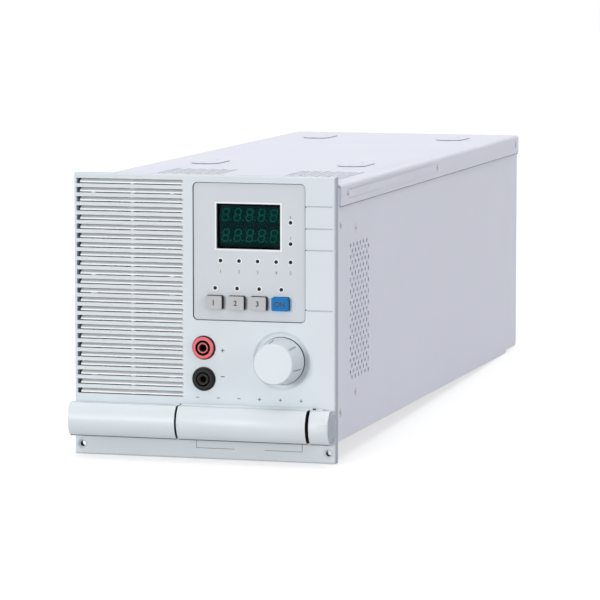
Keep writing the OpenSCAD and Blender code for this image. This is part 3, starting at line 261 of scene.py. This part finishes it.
def make_plastics():
    return {
        "panel_white": surface("moulded_panel", PANEL, 0.55, 0.7, 0.10, 0.012),
        "bar_white": surface("satin_bar", BAR, 0.42, 0.6, 0.06, 0.012),
        "plate_grey": surface("matt_film", PLATE, 0.5, 0.4, 0.05, 0.012),
        "lens_green": lens_material(),
        "black_plastic": surface("black_plastic", BLACK, 0.5, 0.5, 0.08, 0.15, specular=0.2),
        "key_grey": surface("key_grey", srgb(186, 187, 189), 0.5, 0.35, 0.08, 0.03, 6.0),
        "key_blue": surface("key_blue", srgb(24, 121, 190), 0.6, 0.35, 0.08, 0.04, 6.0, specular=0.15),
        "socket_red": surface("socket_red", srgb(232, 84, 94), 0.3, 0.4, 0.04, 0.05, 5.0),
        "board_green": board_material(),
        "rubber_black": surface("rubber", BLACK, 0.7, 0.5, 0.12, 0.2),
        "part_dark": surface("sleeve", srgb(44, 48, 70), 0.4, 0.5, 0.05, 0.1),
        "core_brown": surface("wound_core", srgb(92, 78, 58), 0.6, 0.6, 0.2, 0.15, 6.0),
    }


def make_metals():
    return {
        "lavender_paint": surface("powder_coat", LAVENDER, 0.5, 0.9, 0.09, 0.012, 60.0),
        "dark_paint": surface("dark_paint", srgb(74, 76, 80), 0.5, 0.8, 0.08, 0.08),
        "zinc": surface("zinc", srgb(184, 184, 190), 0.32, 0.3, 0.05, 0.06, 4.0, 1.0),
        "brass": surface("brass", srgb(212, 170, 88), 0.3, 0.3, 0.05, 0.08, 5.0, 1.0),
        "copper": surface("copper", srgb(200, 118, 78), 0.35, 0.4, 0.06, 0.1, 8.0, 1.0, BRUSH_Y),
        "aluminium": surface("aluminium", ALUMINIUM, 0.35, 0.5, 0.06, 0.05, 20.0, 1.0, BRUSH_Y),
        "shunt_metal": surface("shunt_alloy", srgb(146, 134, 112), 0.4, 0.4, 0.06, 0.1, 6.0, 1.0),
    }


def dress_nodes(materials):
    """Every CAD node gets the finish of its slot."""
    for row in frame["record"]["subparts"]:
        obj = NODES[row["node"]]
        obj.data.materials.clear()
        obj.data.materials.append(materials[row["material_slot"]])


# Second tones on CAD nodes, mostly painted shade and painted light, by tests of a face's middle in mm
# and its normal

SKIN = 0.05
END_SKIN = 0.1
FACING = 0.9
WALL = 0.3
RECESS_REACH = 1.0
GROOVE_IN, GROOVE_OUT, FLANGE_R = 3.3, 4.6, 6.6
GROOVE_START = 0.4
BORDER_START = 0.9
BORDER_FACE, BORDER_FLOOR = 0.02, 0.7
KNOB_CORE, KNOB_BACK, KNOB_WALL = 6.0, 1.0, 0.5
LIP_STRIP = 3.0
PAD_FOOT = TOP_HI.z - 0.35
PAD_SLOPE = 0.6
CONTACT_DEPTH = 14.0
COVER_RIM = 3.0


def paint_faces(node, material, test):
    """Gives the faces that pass the test another finish."""
    mesh = NODES[node].data
    mesh.materials.append(material)
    index = len(mesh.materials) - 1
    for face in mesh.polygons:
        if test(panel_mm(face.center), face.normal):
            face.material_index = index


def everywhere(spot, normal):
    return True


def in_recess(spot, normal):
    """Walls and floor of the recess round the control plate, painted dark grey as shade."""
    in_x = PLATE_LO.x - RECESS_REACH < spot.x < PLATE_HI.x + RECESS_REACH
    in_z = PLATE_LO.z - RECESS_REACH < spot.z < PLATE_HI.z + RECESS_REACH
    return in_x and in_z and SKIN < spot.y < PLATE_HI.y + SKIN


# Bores of the fixing holes, which are painted black as shade.
def in_fixing_hole(spot, normal):
    half = FIXING["dims"]["spacing_x_mm"] / 2
    away = math.hypot(abs(spot.x) - half, spot.z - FIXING["pos_m"][2] / MM)
    return away < FIXING["dims"]["hole_r_mm"] + SKIN and abs(normal.y) < WALL


# Side faces of the panel, painted a darker grey as shade; the hinge block's right end gets the same
# painted shade.
def on_side_edge(spot, normal):
    return abs(normal.x) > FACING and abs(spot.x) > PANEL_HI.x - END_SKIN


def in_socket_groove(spot, normal):
    """Ring groove and outer wall of a sense socket, below its face, painted black as shade."""
    away = min(math.hypot(spot.x - x, spot.z - z) for x, z in SOCKETS)
    in_ring = GROOVE_IN < away < GROOVE_OUT or away > FLANGE_R
    return in_ring and spot.y > SOCKET_FACE + GROOVE_START


# Floor and walls of the border grooves beside the control plate, painted darker grey as shade.
def in_border_groove(spot, normal):
    beside = spot.x > PLATE_HI.x + BORDER_START and PLATE_LO.z < spot.z < PLATE_HI.z
    return beside and BORDER_FACE < spot.y < BORDER_FLOOR


def in_knob_groove(spot, normal):
    """Walls of the finger grooves, which face round the knob, painted darker grey as shade."""
    out = (spot - KNOB_MID).xz
    if out.length < KNOB_CORE or spot.y > KNOB_HI.y - KNOB_BACK:
        return False
    out.normalize()
    return abs(out.x * normal.z - out.y * normal.x) > KNOB_WALL


def in_top_hole(spot, normal):
    """Walls of the vent and pad holes in the top cover, painted grey as shade."""
    inside = spot.z > TRAY_HI.z and abs(spot.x) < TRAY_HI.x - LIP_STRIP
    return inside and abs(normal.z) < WALL


# Rims of the pads on the top cover, painted grey as shade.
def on_pad_rim(spot, normal):
    return abs(normal.z) < PAD_SLOPE and spot.z > PAD_FOOT


# Socket contacts down to 14 mm deep, painted black as shade in the bore.
def in_contact(spot, normal):
    return spot.y < CONTACT_DEPTH


# Hinge pin collars beyond the cover, painted black as shade at the barrel's end.
def past_cover(spot, normal):
    return spot.x > COVER_HI.x


def right_end(limit):
    """Test for faces that look to the right, beyond a limit in x."""
    return lambda spot, normal: normal.x > FACING and spot.x > limit


def left_end(limit):
    return lambda spot, normal: normal.x < -FACING and spot.x < limit


def dress_details(black):
    """Places where one moulding shows two tones: painted shade in gaps, bores, grooves and on ends,
    painted light on the vanes, and black digit fields.
    """
    # Painted shade: dark grey in the recess round the control plate and on the facing ends of the grip
    # and the terminal cover.
    gap = surface("painted_shade_grey", srgb(66, 72, 80), 0.6, 0.4, 0.04, 0.06, 8.0)
    # Darker grey painted as shade on the panel's side faces and the hinge block's right end.
    edge = surface("panel_edge", srgb(180, 187, 197), 0.5, 0.6, 0.08, 0.03, 20.0)
    # Darker grey painted as shade in the border grooves.
    groove = surface("groove_painted_shade", srgb(192, 199, 207), 0.6, 0.4, 0.04, 0.03, 8.0)
    # Darker grey painted as shade on the knob's groove walls.
    knob_groove_shade = surface("knob_groove_painted_shade", srgb(120, 126, 134), 0.6, 0.4, 0.04, 0.03, 8.0)
    # Grey painted as shade in the top cover's holes and on its pad rims.
    hole = surface("hole_painted_shade", srgb(128, 130, 144), 0.6, 0.4, 0.04, 0.05, 8.0)
    # Louvre vanes painted whiter than the panel, as painted light on them.
    vane = surface("vane_painted_light", srgb(248, 250, 251), 0.45, 0.5, 0.05, 0.008, 20.0)
    paint_faces("front_panel", gap, in_recess)
    paint_faces("front_panel", black, in_fixing_hole)
    paint_faces("front_panel", edge, on_side_edge)
    paint_faces("front_panel", groove, in_border_groove)
    paint_faces("louvre_vanes", vane, everywhere)
    paint_faces("knob", knob_groove_shade, in_knob_groove)
    paint_faces("top_cover", hole, in_top_hole)
    paint_faces("top_cover", hole, on_pad_rim)
    paint_faces("socket_red", black, in_socket_groove)
    paint_faces("socket_black", black, in_socket_groove)
    paint_faces("socket_contacts", black, in_contact)
    # The cover's right end and the hinge block's left end are painted black as shade in the gap between
    # them.
    paint_faces("terminal_cover", black, right_end(COVER_HI.x - COVER_RIM))
    paint_faces("hinge_block", black, left_end(BLOCK_LO.x + END_SKIN))
    paint_faces("hinge_block", edge, right_end(BLOCK_HI.x - END_SKIN))
    paint_faces("hinge_pins", black, past_cover)
    paint_faces("handle_grip", gap, right_end(BAR_HI.x - END_SKIN))
    paint_faces("terminal_cover", gap, left_end(COVER_LO.x + END_SKIN))
    paint_faces("display_modules", black, everywhere)


SOFT_EDGES = {
    "terminal_cover": 0.5, "hinge_block": 0.5, "control_plate": 0.12,
    "key_1_cap": 0.35, "key_2_cap": 0.35, "key_3_cap": 0.35, "key_4_cap": 0.35,
    "top_cover": 0.2, "side_right": 0.2, "side_left": 0.2, "rear_panel": 0.2, "floor_pan": 0.2,
    "front_panel": 0.12, "knob": 0.2, "display_lens": 0.1,
}
WELD_REACH = 0.002
EDGE_STEPS = 3
EDGE_ANGLE = 40


def soften_edges():
    for name, width in SOFT_EDGES.items():
        weld = NODES[name].modifiers.new("join_faces", "WELD")
        weld.merge_threshold = WELD_REACH * MM
        bevel = NODES[name].modifiers.new("soft_edges", "BEVEL")
        bevel.width = width * MM
        bevel.segments = EDGE_STEPS
        bevel.limit_method = "ANGLE"
        bevel.angle_limit = math.radians(EDGE_ANGLE)
        bevel.use_clamp_overlap = True
        bevel.harden_normals = True


# Helpers: added pieces

RING_SLOPE = 0.06


def mesh_piece(name, bm, material, body):
    bmesh.ops.recalc_face_normals(bm, faces=bm.faces)
    mesh = bpy.data.meshes.new(name)
    bm.to_mesh(mesh)
    bm.free()
    obj = bpy.data.objects.new(name, mesh)
    link(obj)
    mesh.materials.append(material)
    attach(obj, body)


def prism(bm, first, last):
    """Closed body between two rings of points."""
    near = [bm.verts.new(point) for point in first]
    far = [bm.verts.new(point) for point in last]
    bm.faces.new(near)
    bm.faces.new(far[::-1])
    for i in range(len(first)):
        j = (i + 1) % len(first)
        bm.faces.new((near[i], near[j], far[j], far[i]))


def slab(bm, outline, y_front, y_back):
    """Prism over a closed (x, z) outline, between two depths, in millimetres."""
    prism(bm, [at(x, y_front, z) for x, z in outline], [at(x, y_back, z) for x, z in outline])


def strip_x(bm, profile, x0, x1):
    """Prism over a closed (y, z) profile, from side to side."""
    prism(bm, [at(x0, y, z) for y, z in profile], [at(x1, y, z) for y, z in profile])


def strip_y(bm, profile, y0, y1):
    """Prism over a closed (x, z) profile, from front to back."""
    prism(bm, [at(x, y0, z) for x, z in profile], [at(x, y1, z) for x, z in profile])


def bar(bm, x0, x1, z0, z1, y_front, y_back):
    slab(bm, [(x0, z0), (x1, z0), (x1, z1), (x0, z1)], y_front, y_back)


def frame_bars(bm, lo, hi, width, y_front, y_back):
    """Four bars round a rectangle, outside of it."""
    x0, x1, z0, z1 = lo[0], hi[0], lo[1], hi[1]
    bar(bm, x0 - width, x1 + width, z1, z1 + width, y_front, y_back)
    bar(bm, x0 - width, x1 + width, z0 - width, z0, y_front, y_back)
    bar(bm, x0 - width, x0, z0, z1, y_front, y_back)
    bar(bm, x1, x1 + width, z0, z1, y_front, y_back)


def circle(radius, steps):
    """Points of a circle in (x, z)."""
    turns = [2 * math.pi * i / steps for i in range(steps)]
    return [(radius * math.cos(turn), radius * math.sin(turn)) for turn in turns]


def ring(bm, cx, cz, r_in, r_out, y_front, y_back, steps=40):
    """Flat ring with a sloped outer edge."""
    section = [(r_in, y_back), (r_in, y_front), (r_out - RING_SLOPE, y_front), (r_out, y_back)]
    rows = []
    for x, z in circle(1.0, steps):
        rows.append([bm.verts.new(at(cx + r * x, y, cz + r * z)) for r, y in section])
    for i in range(steps):
        a, b = rows[i], rows[(i + 1) % steps]
        for k in range(len(section)):
            m = (k + 1) % len(section)
            bm.faces.new((a[k], b[k], b[m], a[m]))


def plus(bm, cx, cz, size, stroke, y_front, y_back):
    h, s = size / 2, stroke / 2
    outline = [(-s, -h), (s, -h), (s, -s), (h, -s), (h, s), (s, s), (s, h), (-s, h), (-s, s), (-h, s),
               (-h, -s), (-s, -s)]
    slab(bm, [(cx + x, cz + z) for x, z in outline], y_front, y_back)


def minus(bm, cx, cz, size, stroke, y_front, y_back):
    bar(bm, cx - size / 2, cx + size / 2, cz - stroke / 2, cz + stroke / 2, y_front, y_back)


# Display: sizes in mm, places as shares of the lens, heights above the face of the modules

DIGIT_W, DIGIT_H = 4.6, 8.0
STROKE = 0.85
CUT = 1.2
SLANT = 0.15
HAIR = 0.01
DOT_R, DOT_STEPS = 0.55, 12
DOT_X, DOT_Z = 3.1, 0.8
MASK_W = 1.15
FIRST_SHARE, PITCH_SHARE = 0.127, 0.189
ROW_SHARES = (0.246, 0.708)
DIGIT_X = [LENS_LO.x + (LENS_HI.x - LENS_LO.x) * (FIRST_SHARE + PITCH_SHARE * i) for i in range(5)]
DIGIT_Z = [LENS_HI.z - (LENS_HI.z - LENS_LO.z) * share for share in ROW_SHARES]
MASK_UP, DIGIT_UP, FIELD_UP, BACK_UP = 0.08, 0.05, 0.03, 0.01
# The field between the digits gets a painted glow; the digits are lit segments.
FIELD_GREEN, FIELD_PAINTED_GLOW = srgb(31, 89, 91), 0.48
DIGIT_GREEN, DIGIT_GLOW = srgb(0, 161, 141), 0.75


def leaning(points, cx, cz):
    return [(cx + x + SLANT * z, cz + z) for x, z in points]


def loop_points(w, z0, z1, cut):
    """Rectangle with cut corners."""
    return [(-w, z0 + cut), (-w + cut, z0), (w - cut, z0), (w, z0 + cut),
            (w, z1 - cut), (w - cut, z1), (-w + cut, z1), (-w, z1 - cut)]


def loop(bm, cx, cz, z0, z1, y_front, y_back):
    """Closed loop of lit segments, half a digit."""
    w = DIGIT_W / 2
    outer = leaning(loop_points(w, z0, z1, CUT), cx, cz)
    inner = leaning(loop_points(w - STROKE, z0 + STROKE, z1 - STROKE, CUT - STROKE / 2), cx, cz)
    for i in range(len(outer)):
        j = (i + 1) % len(outer)
        slab(bm, [outer[i], outer[j], inner[j], inner[i]], y_front, y_back)


def digit(bm, cx, cz, y_front, y_back):
    """An eight with its decimal dot; the lower half lies a hair in front of the upper one."""
    h = DIGIT_H / 2
    loop(bm, cx, cz, -STROKE / 2, h, y_front, y_back)
    loop(bm, cx, cz, -h, STROKE / 2, y_front - HAIR, y_back)
    dot = circle(DOT_R, DOT_STEPS)
    slab(bm, [(cx + DOT_X + x, cz - h + DOT_Z + z) for x, z in dot], y_front, y_back)


def build_display(black):
    """Field with a painted glow, dimly lit digits and a black mask between the modules and the lens."""
    lo = (LENS_LO.x + MASK_W, LENS_LO.z + MASK_W)
    hi = (LENS_HI.x - MASK_W, LENS_HI.z - MASK_W)
    bm = bmesh.new()
    frame_bars(bm, lo, hi, MASK_W, MODULE_FACE - MASK_UP, MODULE_FACE - BACK_UP)
    mesh_piece("display_mask", bm, black, "chassis")
    bm = bmesh.new()
    bar(bm, lo[0], hi[0], lo[1], hi[1], MODULE_FACE - FIELD_UP, MODULE_FACE - BACK_UP)
    field = glow_material("digit_field_painted_glow", FIELD_GREEN, FIELD_PAINTED_GLOW)
    mesh_piece("display_field_painted_glow", bm, field, "chassis")
    bm = bmesh.new()
    for cx in DIGIT_X:
        for cz in DIGIT_Z:
            digit(bm, cx, cz, MODULE_FACE - DIGIT_UP, MODULE_FACE - FIELD_UP)
    glow = glow_material("display_segments", DIGIT_GREEN, DIGIT_GLOW)
    mesh_piece("display_digits", bm, glow, "chassis")


# Printing and dark marks, in mm

PRINT_T = 0.04
BORDER_SHARES = (0.16, 0.319, 0.474, 0.908)
END_X0, END_X1, END_HALF = 0.35, 1.1, 0.35
# The black rims of the socket grooves and the ring under the knob's edge are painted shade.
SOCKET_RIMS = ((4.45, 4.75), (3.15, 3.45))
RIM_T = 0.03
SHADOW_IN, SHADOW_OUT, SHADOW_T, SHADOW_STEPS = 2.5, 0.25, 0.05, 64
LED_RING_IN, LED_RING_OUT = 1.2, 1.75
WINDOW_GAP, WINDOW_BORDER = 0.25, 0.8
MARK_INSET, MARK_PITCH, MARK_UP = 8.85, 12.97, 3.9
MARK_COUNT = 6
MARK_SIZE, MARK_STROKE = 2.0, 0.5
SIGN_X, PLUS_DOWN, MINUS_UP = 11.8, 1.4, 1.7
SIGN_SIZE, SIGN_STROKE = 2.3, 0.6
LEADER_LEFT, LEADER_RIGHT = COVER_LO.x + 8.0, COVER_HI.x - 7.8
LEADER_TOP, LEADER_LOW, LEADER_W = BAR_LO.z - 0.6, 6.45, 0.3
LEFT_RUN, RIGHT_RUN = 24.0, 23.6


def build_dark_and_shade_marks(black):
    """Dark ends of the border grooves; rims of the sockets' ring grooves and a ring on the dish floor
    under the knob's edge, both painted black as shade.
    """
    bm = bmesh.new()
    for share in BORDER_SHARES:
        z = PLATE_HI.z - share * (PLATE_HI.z - PLATE_LO.z)
        bar(bm, PLATE_HI.x + END_X0, PLATE_HI.x + END_X1, z - END_HALF, z + END_HALF, -PRINT_T, 0.0)
    for x, z in SOCKETS:
        for r_in, r_out in SOCKET_RIMS:
            ring(bm, x, z, r_in, r_out, SOCKET_FACE - RIM_T, SOCKET_FACE)
    ring(bm, KNOB_MID.x, KNOB_MID.z, KNOB_R - SHADOW_IN, KNOB_R + SHADOW_OUT,
         DISH_FLOOR - SHADOW_T, DISH_FLOOR, SHADOW_STEPS)
    mesh_piece("dark_and_shade_marks", bm, black, "chassis")


def build_white_print(white):
    """White rings round the indicators and a white border round the display window."""
    y = PLATE_FACE - PRINT_T
    bm = bmesh.new()
    for x, z in LEDS:
        ring(bm, x, z, LED_RING_IN, LED_RING_OUT, y, PLATE_FACE)
    lo = (LENS_LO.x - WINDOW_GAP, LENS_LO.z - WINDOW_GAP)
    hi = (LENS_HI.x + WINDOW_GAP, LENS_HI.z + WINDOW_GAP)
    frame_bars(bm, lo, hi, WINDOW_BORDER, y, PLATE_FACE)
    mesh_piece("white_print", bm, white, "chassis")


def build_print(ink):
    """Generic signs: polarity marks, leader lines."""
    y0, y1 = -PRINT_T, 0.0
    red, black = SOCKETS
    bm = bmesh.new()
    for i in range(MARK_COUNT):
        sign = minus if i < MARK_COUNT / 2 else plus
        x = COVER_LO.x + MARK_INSET + MARK_PITCH * i
        sign(bm, x, BAR_HI.z + MARK_UP, MARK_SIZE, MARK_STROKE, y0, y1)
    plus(bm, red.x + SIGN_X, red.y - PLUS_DOWN, SIGN_SIZE, SIGN_STROKE, y0, y1)
    minus(bm, black.x + SIGN_X, black.y + MINUS_UP, SIGN_SIZE, SIGN_STROKE, y0, y1)
    for x in (LEADER_LEFT, LEADER_RIGHT):
        bar(bm, x - LEADER_W / 2, x + LEADER_W / 2, LEADER_LOW, LEADER_TOP, y0, y1)
    low, high = LEADER_LOW, LEADER_LOW + LEADER_W
    bar(bm, LEADER_LEFT, LEADER_LEFT + LEFT_RUN, low, high, y0, y1)
    bar(bm, LEADER_RIGHT - RIGHT_RUN, LEADER_RIGHT, low, high, y0, y1)
    mesh_piece("panel_signs", bm, ink, "chassis")


# Lettering, in mm; the numbers stand below or above their indicators

LETTER_SCALE = 1.35
LETTER_T = 0.02
MODE_H, MODE_DOWN = 2.2, 6.6
UNIT_H, UNIT_UP, UNIT_FIRST = 1.8, 3.2, 6
UNIT_COUNT = 2
KEY_SIGNS = ("1", "2", "3", "ON")
KEY_H, KEY_DOWN, KEY_WEIGHT = 3.2, 0.2, 0.12


def lettering(name, text, x, z, height, y, material, body, weight=0.0):
    """Generic sign set in the built-in face, turned to the front and made into a thin mesh."""
    curve = bpy.data.curves.new(name, "FONT")
    curve.body = text
    curve.size = height * MM * LETTER_SCALE
    curve.extrude = LETTER_T * MM
    curve.offset = weight * MM
    curve.align_x = "CENTER"
    curve.align_y = "CENTER"
    carrier = bpy.data.objects.new(name + "_curve", curve)
    link(carrier)
    bpy.context.view_layer.update()
    shape = carrier.evaluated_get(bpy.context.evaluated_depsgraph_get())
    mesh = bpy.data.meshes.new_from_object(shape)
    bpy.data.objects.remove(carrier)
    mesh.transform(Matrix.Translation(at(x, y, z)) @ Matrix.Rotation(math.radians(90), 4, "X"))
    obj = bpy.data.objects.new(name, mesh)
    link(obj)
    mesh.materials.clear()
    mesh.materials.append(material)
    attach(obj, body)


def build_lettering(ink, key_ink):
    y = PLATE_FACE - LETTER_T
    modes = [led for led in LEDS if abs(led[1] - LEDS[UNIT_COUNT][1]) < 1]
    for i, (x, z) in enumerate(modes):
        lettering("mode_number_%d" % (i + 1), str(i + 1), x, z - MODE_DOWN, MODE_H, y, ink, "chassis")
    for i, (x, z) in enumerate(LEDS[:UNIT_COUNT]):
        text = str(i + UNIT_FIRST)
        lettering("unit_number_%d" % (i + 1), text, x, z + UNIT_UP, UNIT_H, y, ink, "chassis")
    y = KEY_FACE - LETTER_T
    for i, text in enumerate(KEY_SIGNS):
        body = "key_%d" % (i + 1)
        x, z = KEYS[i].x, KEYS[i].z - KEY_DOWN
        lettering("key_sign_%d" % (i + 1), text, x, z, KEY_H, y, key_ink, body, KEY_WEIGHT)


# Strips of painted shade, in mm

SHADE_STRIP_PROFILE = ((0.1, 0.0), (0.2, -0.45), (0.6, -0.6), (1.0, -0.45), (1.2, 0.0))
SHADE_STRIP_BODIES = (("handle_grip", "chassis"), ("terminal_cover", "cover"), ("hinge_block", "chassis"))
SHADE_STRIP_INSET = 0.3
LIP_REACH = 0.5
LIP_SHADE_END = 0.5
LIP_SHADE_IN, LIP_SHADE_TAPER = 0.25, 0.45
LIP_SHADE_DOWN, LIP_SHADE_ROOT = 0.45, 0.55
PANEL_SHADE_GAP, PANEL_SHADE_CREST, PANEL_SHADE_T = 0.05, 0.35, 1.1
PANEL_SHADE_DOWN, CREST_DOWN = 0.9, 0.6


def build_bar_shade_strip(node, body, material):
    """Grey strip along the lower lip of the bar, painted shade under it."""
    low = span(node)[0].z
    points = [panel_mm(vert.co) for vert in NODES[node].data.vertices]
    lip = [p for p in points if p.z < low + SKIN]
    y = min(p.y for p in lip)
    ends = [p.x for p in lip if p.y < y + LIP_REACH]
    bm = bmesh.new()
    strip_x(bm, [(y + dy, low + dz) for dy, dz in SHADE_STRIP_PROFILE], min(ends) + SHADE_STRIP_INSET, max(ends) - SHADE_STRIP_INSET)
    mesh_piece(node + "_painted_shade", bm, material, body)


def build_lip_shade_strips(material):
    """Dark grey strip under the lips of the top cover, painted shade in the gap there."""
    low = TOP_LO.z
    section = [(TRAY_HI.x, low), (TOP_HI.x - LIP_SHADE_IN, low), (TOP_HI.x - LIP_SHADE_TAPER, low - LIP_SHADE_DOWN),
               (TRAY_HI.x, low - LIP_SHADE_ROOT)]
    bm = bmesh.new()
    for side in (-1, 1):
        strip_y(bm, [(side * x, z) for x, z in section], TOP_LO.y + LIP_SHADE_END, TOP_HI.y - LIP_SHADE_END)
    mesh_piece("lip_painted_shade", bm, material, "chassis")


def build_panel_shade_strip(material):
    """Black strip on the front plate, behind the panel's upper rim, painted shade in the gap there."""
    lo, hi = span("sub_panel")
    back, top = PANEL_HI.y, PANEL_HI.z
    profile = [(back + PANEL_SHADE_GAP, hi.z), (back + PANEL_SHADE_GAP, top - PANEL_SHADE_DOWN),
               (back + PANEL_SHADE_CREST, top - CREST_DOWN), (back + PANEL_SHADE_T, top - PANEL_SHADE_DOWN),
               (back + PANEL_SHADE_T, hi.z)]
    bm = bmesh.new()
    strip_x(bm, profile, lo.x, hi.x)
    mesh_piece("panel_painted_shade", bm, material, "chassis")


# Stage: camera, lamps as (name, direction towards it, level, spread in degrees), world and floor

CAMERA_AT = at(660.7, -2116.0, 336.6)
CAMERA_TO = Vector((-0.2714, 0.9564, -0.1077))
CAMERA_REACH = 20.0
FOCAL = 222.2
SENSOR = 36.0
LAMPS = (
    ("front", (-0.33, -0.93, 0.12), 0.43, 14),
    ("right", (0.88, -0.4, 0.3), 0.15, 30),
    ("top", (0.0, 0.0, 1.0), 0.42, 60),
)
WHITE = (1.0, 1.0, 1.0, 1.0)
WORLD_TINT = (0.97, 0.98, 1.0, 1.0)
WORLD_LEVEL = 0.33
FLOOR_HALF = 4.0
FLOOR_GAP = 0.0002
FLOOR_GREY = srgb(186, 186, 188)
FLOOR_SPREAD = 0.99
FLOOR_CLOUD = 400.0
FLOOR_ROUGH = 0.8
FLOOR_GLOW = 0.62


def build_camera():
    data = bpy.data.cameras.new("camera")
    data.lens = FOCAL
    data.sensor_width = SENSOR
    data.clip_end = CAMERA_REACH
    cam = bpy.data.objects.new("camera", data)
    cam.location = CAMERA_AT
    cam.rotation_euler = CAMERA_TO.to_track_quat("-Z", "Y").to_euler()
    link(cam)
    bpy.context.scene.camera = cam


def soft_sun(name, source, level, spread):
    """Wide even light; level is what it adds to a surface that faces it."""
    data = bpy.data.lights.new(name, "SUN")
    data.energy = level * math.pi
    data.angle = math.radians(spread)
    lamp = bpy.data.objects.new(name, data)
    lamp.rotation_euler = (-Vector(source)).to_track_quat("-Z", "Y").to_euler()
    link(lamp)


def background_rays(tree):
    """1 for rays that see the background: from the camera, mirrored or through glass."""
    path = tree.nodes.new("ShaderNodeLightPath")
    seen = tree.nodes.new("ShaderNodeMath")
    seen.operation = "MAXIMUM"
    either = tree.nodes.new("ShaderNodeMath")
    either.operation = "MAXIMUM"
    tree.links.new(path.outputs["Is Glossy Ray"], either.inputs[0])
    tree.links.new(path.outputs["Is Transmission Ray"], either.inputs[1])
    tree.links.new(path.outputs["Is Camera Ray"], seen.inputs[0])
    tree.links.new(either.outputs["Value"], seen.inputs[1])
    return seen.outputs["Value"]


def build_world():
    """White where the background is seen, soft grey as light."""
    world = bpy.data.worlds.new("studio")
    bpy.context.scene.world = world
    world.use_nodes = True
    tree = world.node_tree
    tree.nodes.clear()
    out = tree.nodes.new("ShaderNodeOutputWorld")
    mix = tree.nodes.new("ShaderNodeMixShader")
    seen = tree.nodes.new("ShaderNodeBackground")
    soft = tree.nodes.new("ShaderNodeBackground")
    seen.inputs["Strength"].default_value = 1.0
    seen.inputs["Color"].default_value = WHITE
    soft.inputs["Strength"].default_value = WORLD_LEVEL
    soft.inputs["Color"].default_value = WORLD_TINT
    tree.links.new(background_rays(tree), mix.inputs["Fac"])
    tree.links.new(soft.outputs["Background"], mix.inputs[1])
    tree.links.new(seen.outputs["Background"], mix.inputs[2])
    tree.links.new(mix.outputs["Shader"], out.inputs["Surface"])


def floor_material():
    """Matt table that looks white and still keeps the shadow."""
    mat, tree, shader = new_material("floor_white")
    tone(tree, shader, noise(tree, FLOOR_CLOUD), scaled(FLOOR_GREY, FLOOR_SPREAD), FLOOR_GREY)
    shader.inputs["Roughness"].default_value = FLOOR_ROUGH
    glow = tree.nodes.new("ShaderNodeMath")
    glow.operation = "MULTIPLY"
    glow.inputs[1].default_value = FLOOR_GLOW
    tree.links.new(background_rays(tree), glow.inputs[0])
    tree.links.new(glow.outputs["Value"], shader.inputs["Emission Strength"])
    shader.inputs["Emission Color"].default_value = WHITE
    return mat


def build_floor():
    """Floor on which the panel's lower edge and the chassis' rear edge really rest."""
    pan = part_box("floor_pan")
    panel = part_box("front_panel")
    front_y, front_z = panel[1].y, panel[0].z
    slope = (pan[0].z - front_z) / (pan[1].y - front_y)
    bm = bmesh.new()
    corners = []
    for x, y in ((-1, -1), (1, -1), (1, 1), (-1, 1)):
        rise = slope * y * FLOOR_HALF - FLOOR_GAP
        corners.append(bm.verts.new((x * FLOOR_HALF, front_y + y * FLOOR_HALF, front_z + rise)))
    bm.faces.new(corners)
    mesh = bpy.data.meshes.new("floor")
    bm.to_mesh(mesh)
    bm.free()
    obj = bpy.data.objects.new("floor", mesh)
    link(obj)
    mesh.materials.append(floor_material())


def build_stage():
    build_world()
    for lamp in LAMPS:
        soft_sun(*lamp)
    build_floor()
    bpy.context.scene.view_settings.view_transform = "Standard"


def build_pieces(black):
    """Everything that the CAD nodes don't have: display, printing and strips of painted shade."""
    ink = surface("print_grey", srgb(96, 106, 116), 0.5, 0.3, 0.03, 0.05, 3.0)
    key_ink = surface("print_dark", srgb(22, 24, 28), 0.5, 0.3, 0.03, 0.05, 3.0)
    white = surface("print_white", srgb(246, 248, 250), 0.5, 0.4, 0.03, 0.01)
    # Dark grey for the strips of painted shade under the bar's lower lip and the top cover's lips.
    strip_of_shade = surface("painted_shade_strip", srgb(96, 102, 110), 0.7, 0.4, 0.05, 0.08, 6.0)
    build_display(black)
    build_dark_and_shade_marks(black)
    build_white_print(white)
    build_print(ink)
    build_lettering(ink, key_ink)
    for node, body in SHADE_STRIP_BODIES:
        build_bar_shade_strip(node, body, strip_of_shade)
    build_lip_shade_strips(strip_of_shade)
    build_panel_shade_strip(black)


def main():
    # Black of the display modules and mask; the same black is also painted shade in bores, grooves,
    # contacts, gaps between parts and round the knob's foot.
    black = surface("black_and_painted_shade", srgb(7, 7, 8), 0.7, 0.4, 0.05, 0.2, 4.0)
    dress_nodes({**make_plastics(), **make_metals()})
    dress_details(black)
    soften_edges()
    build_pieces(black)
    build_stage()
    build_camera()


main()
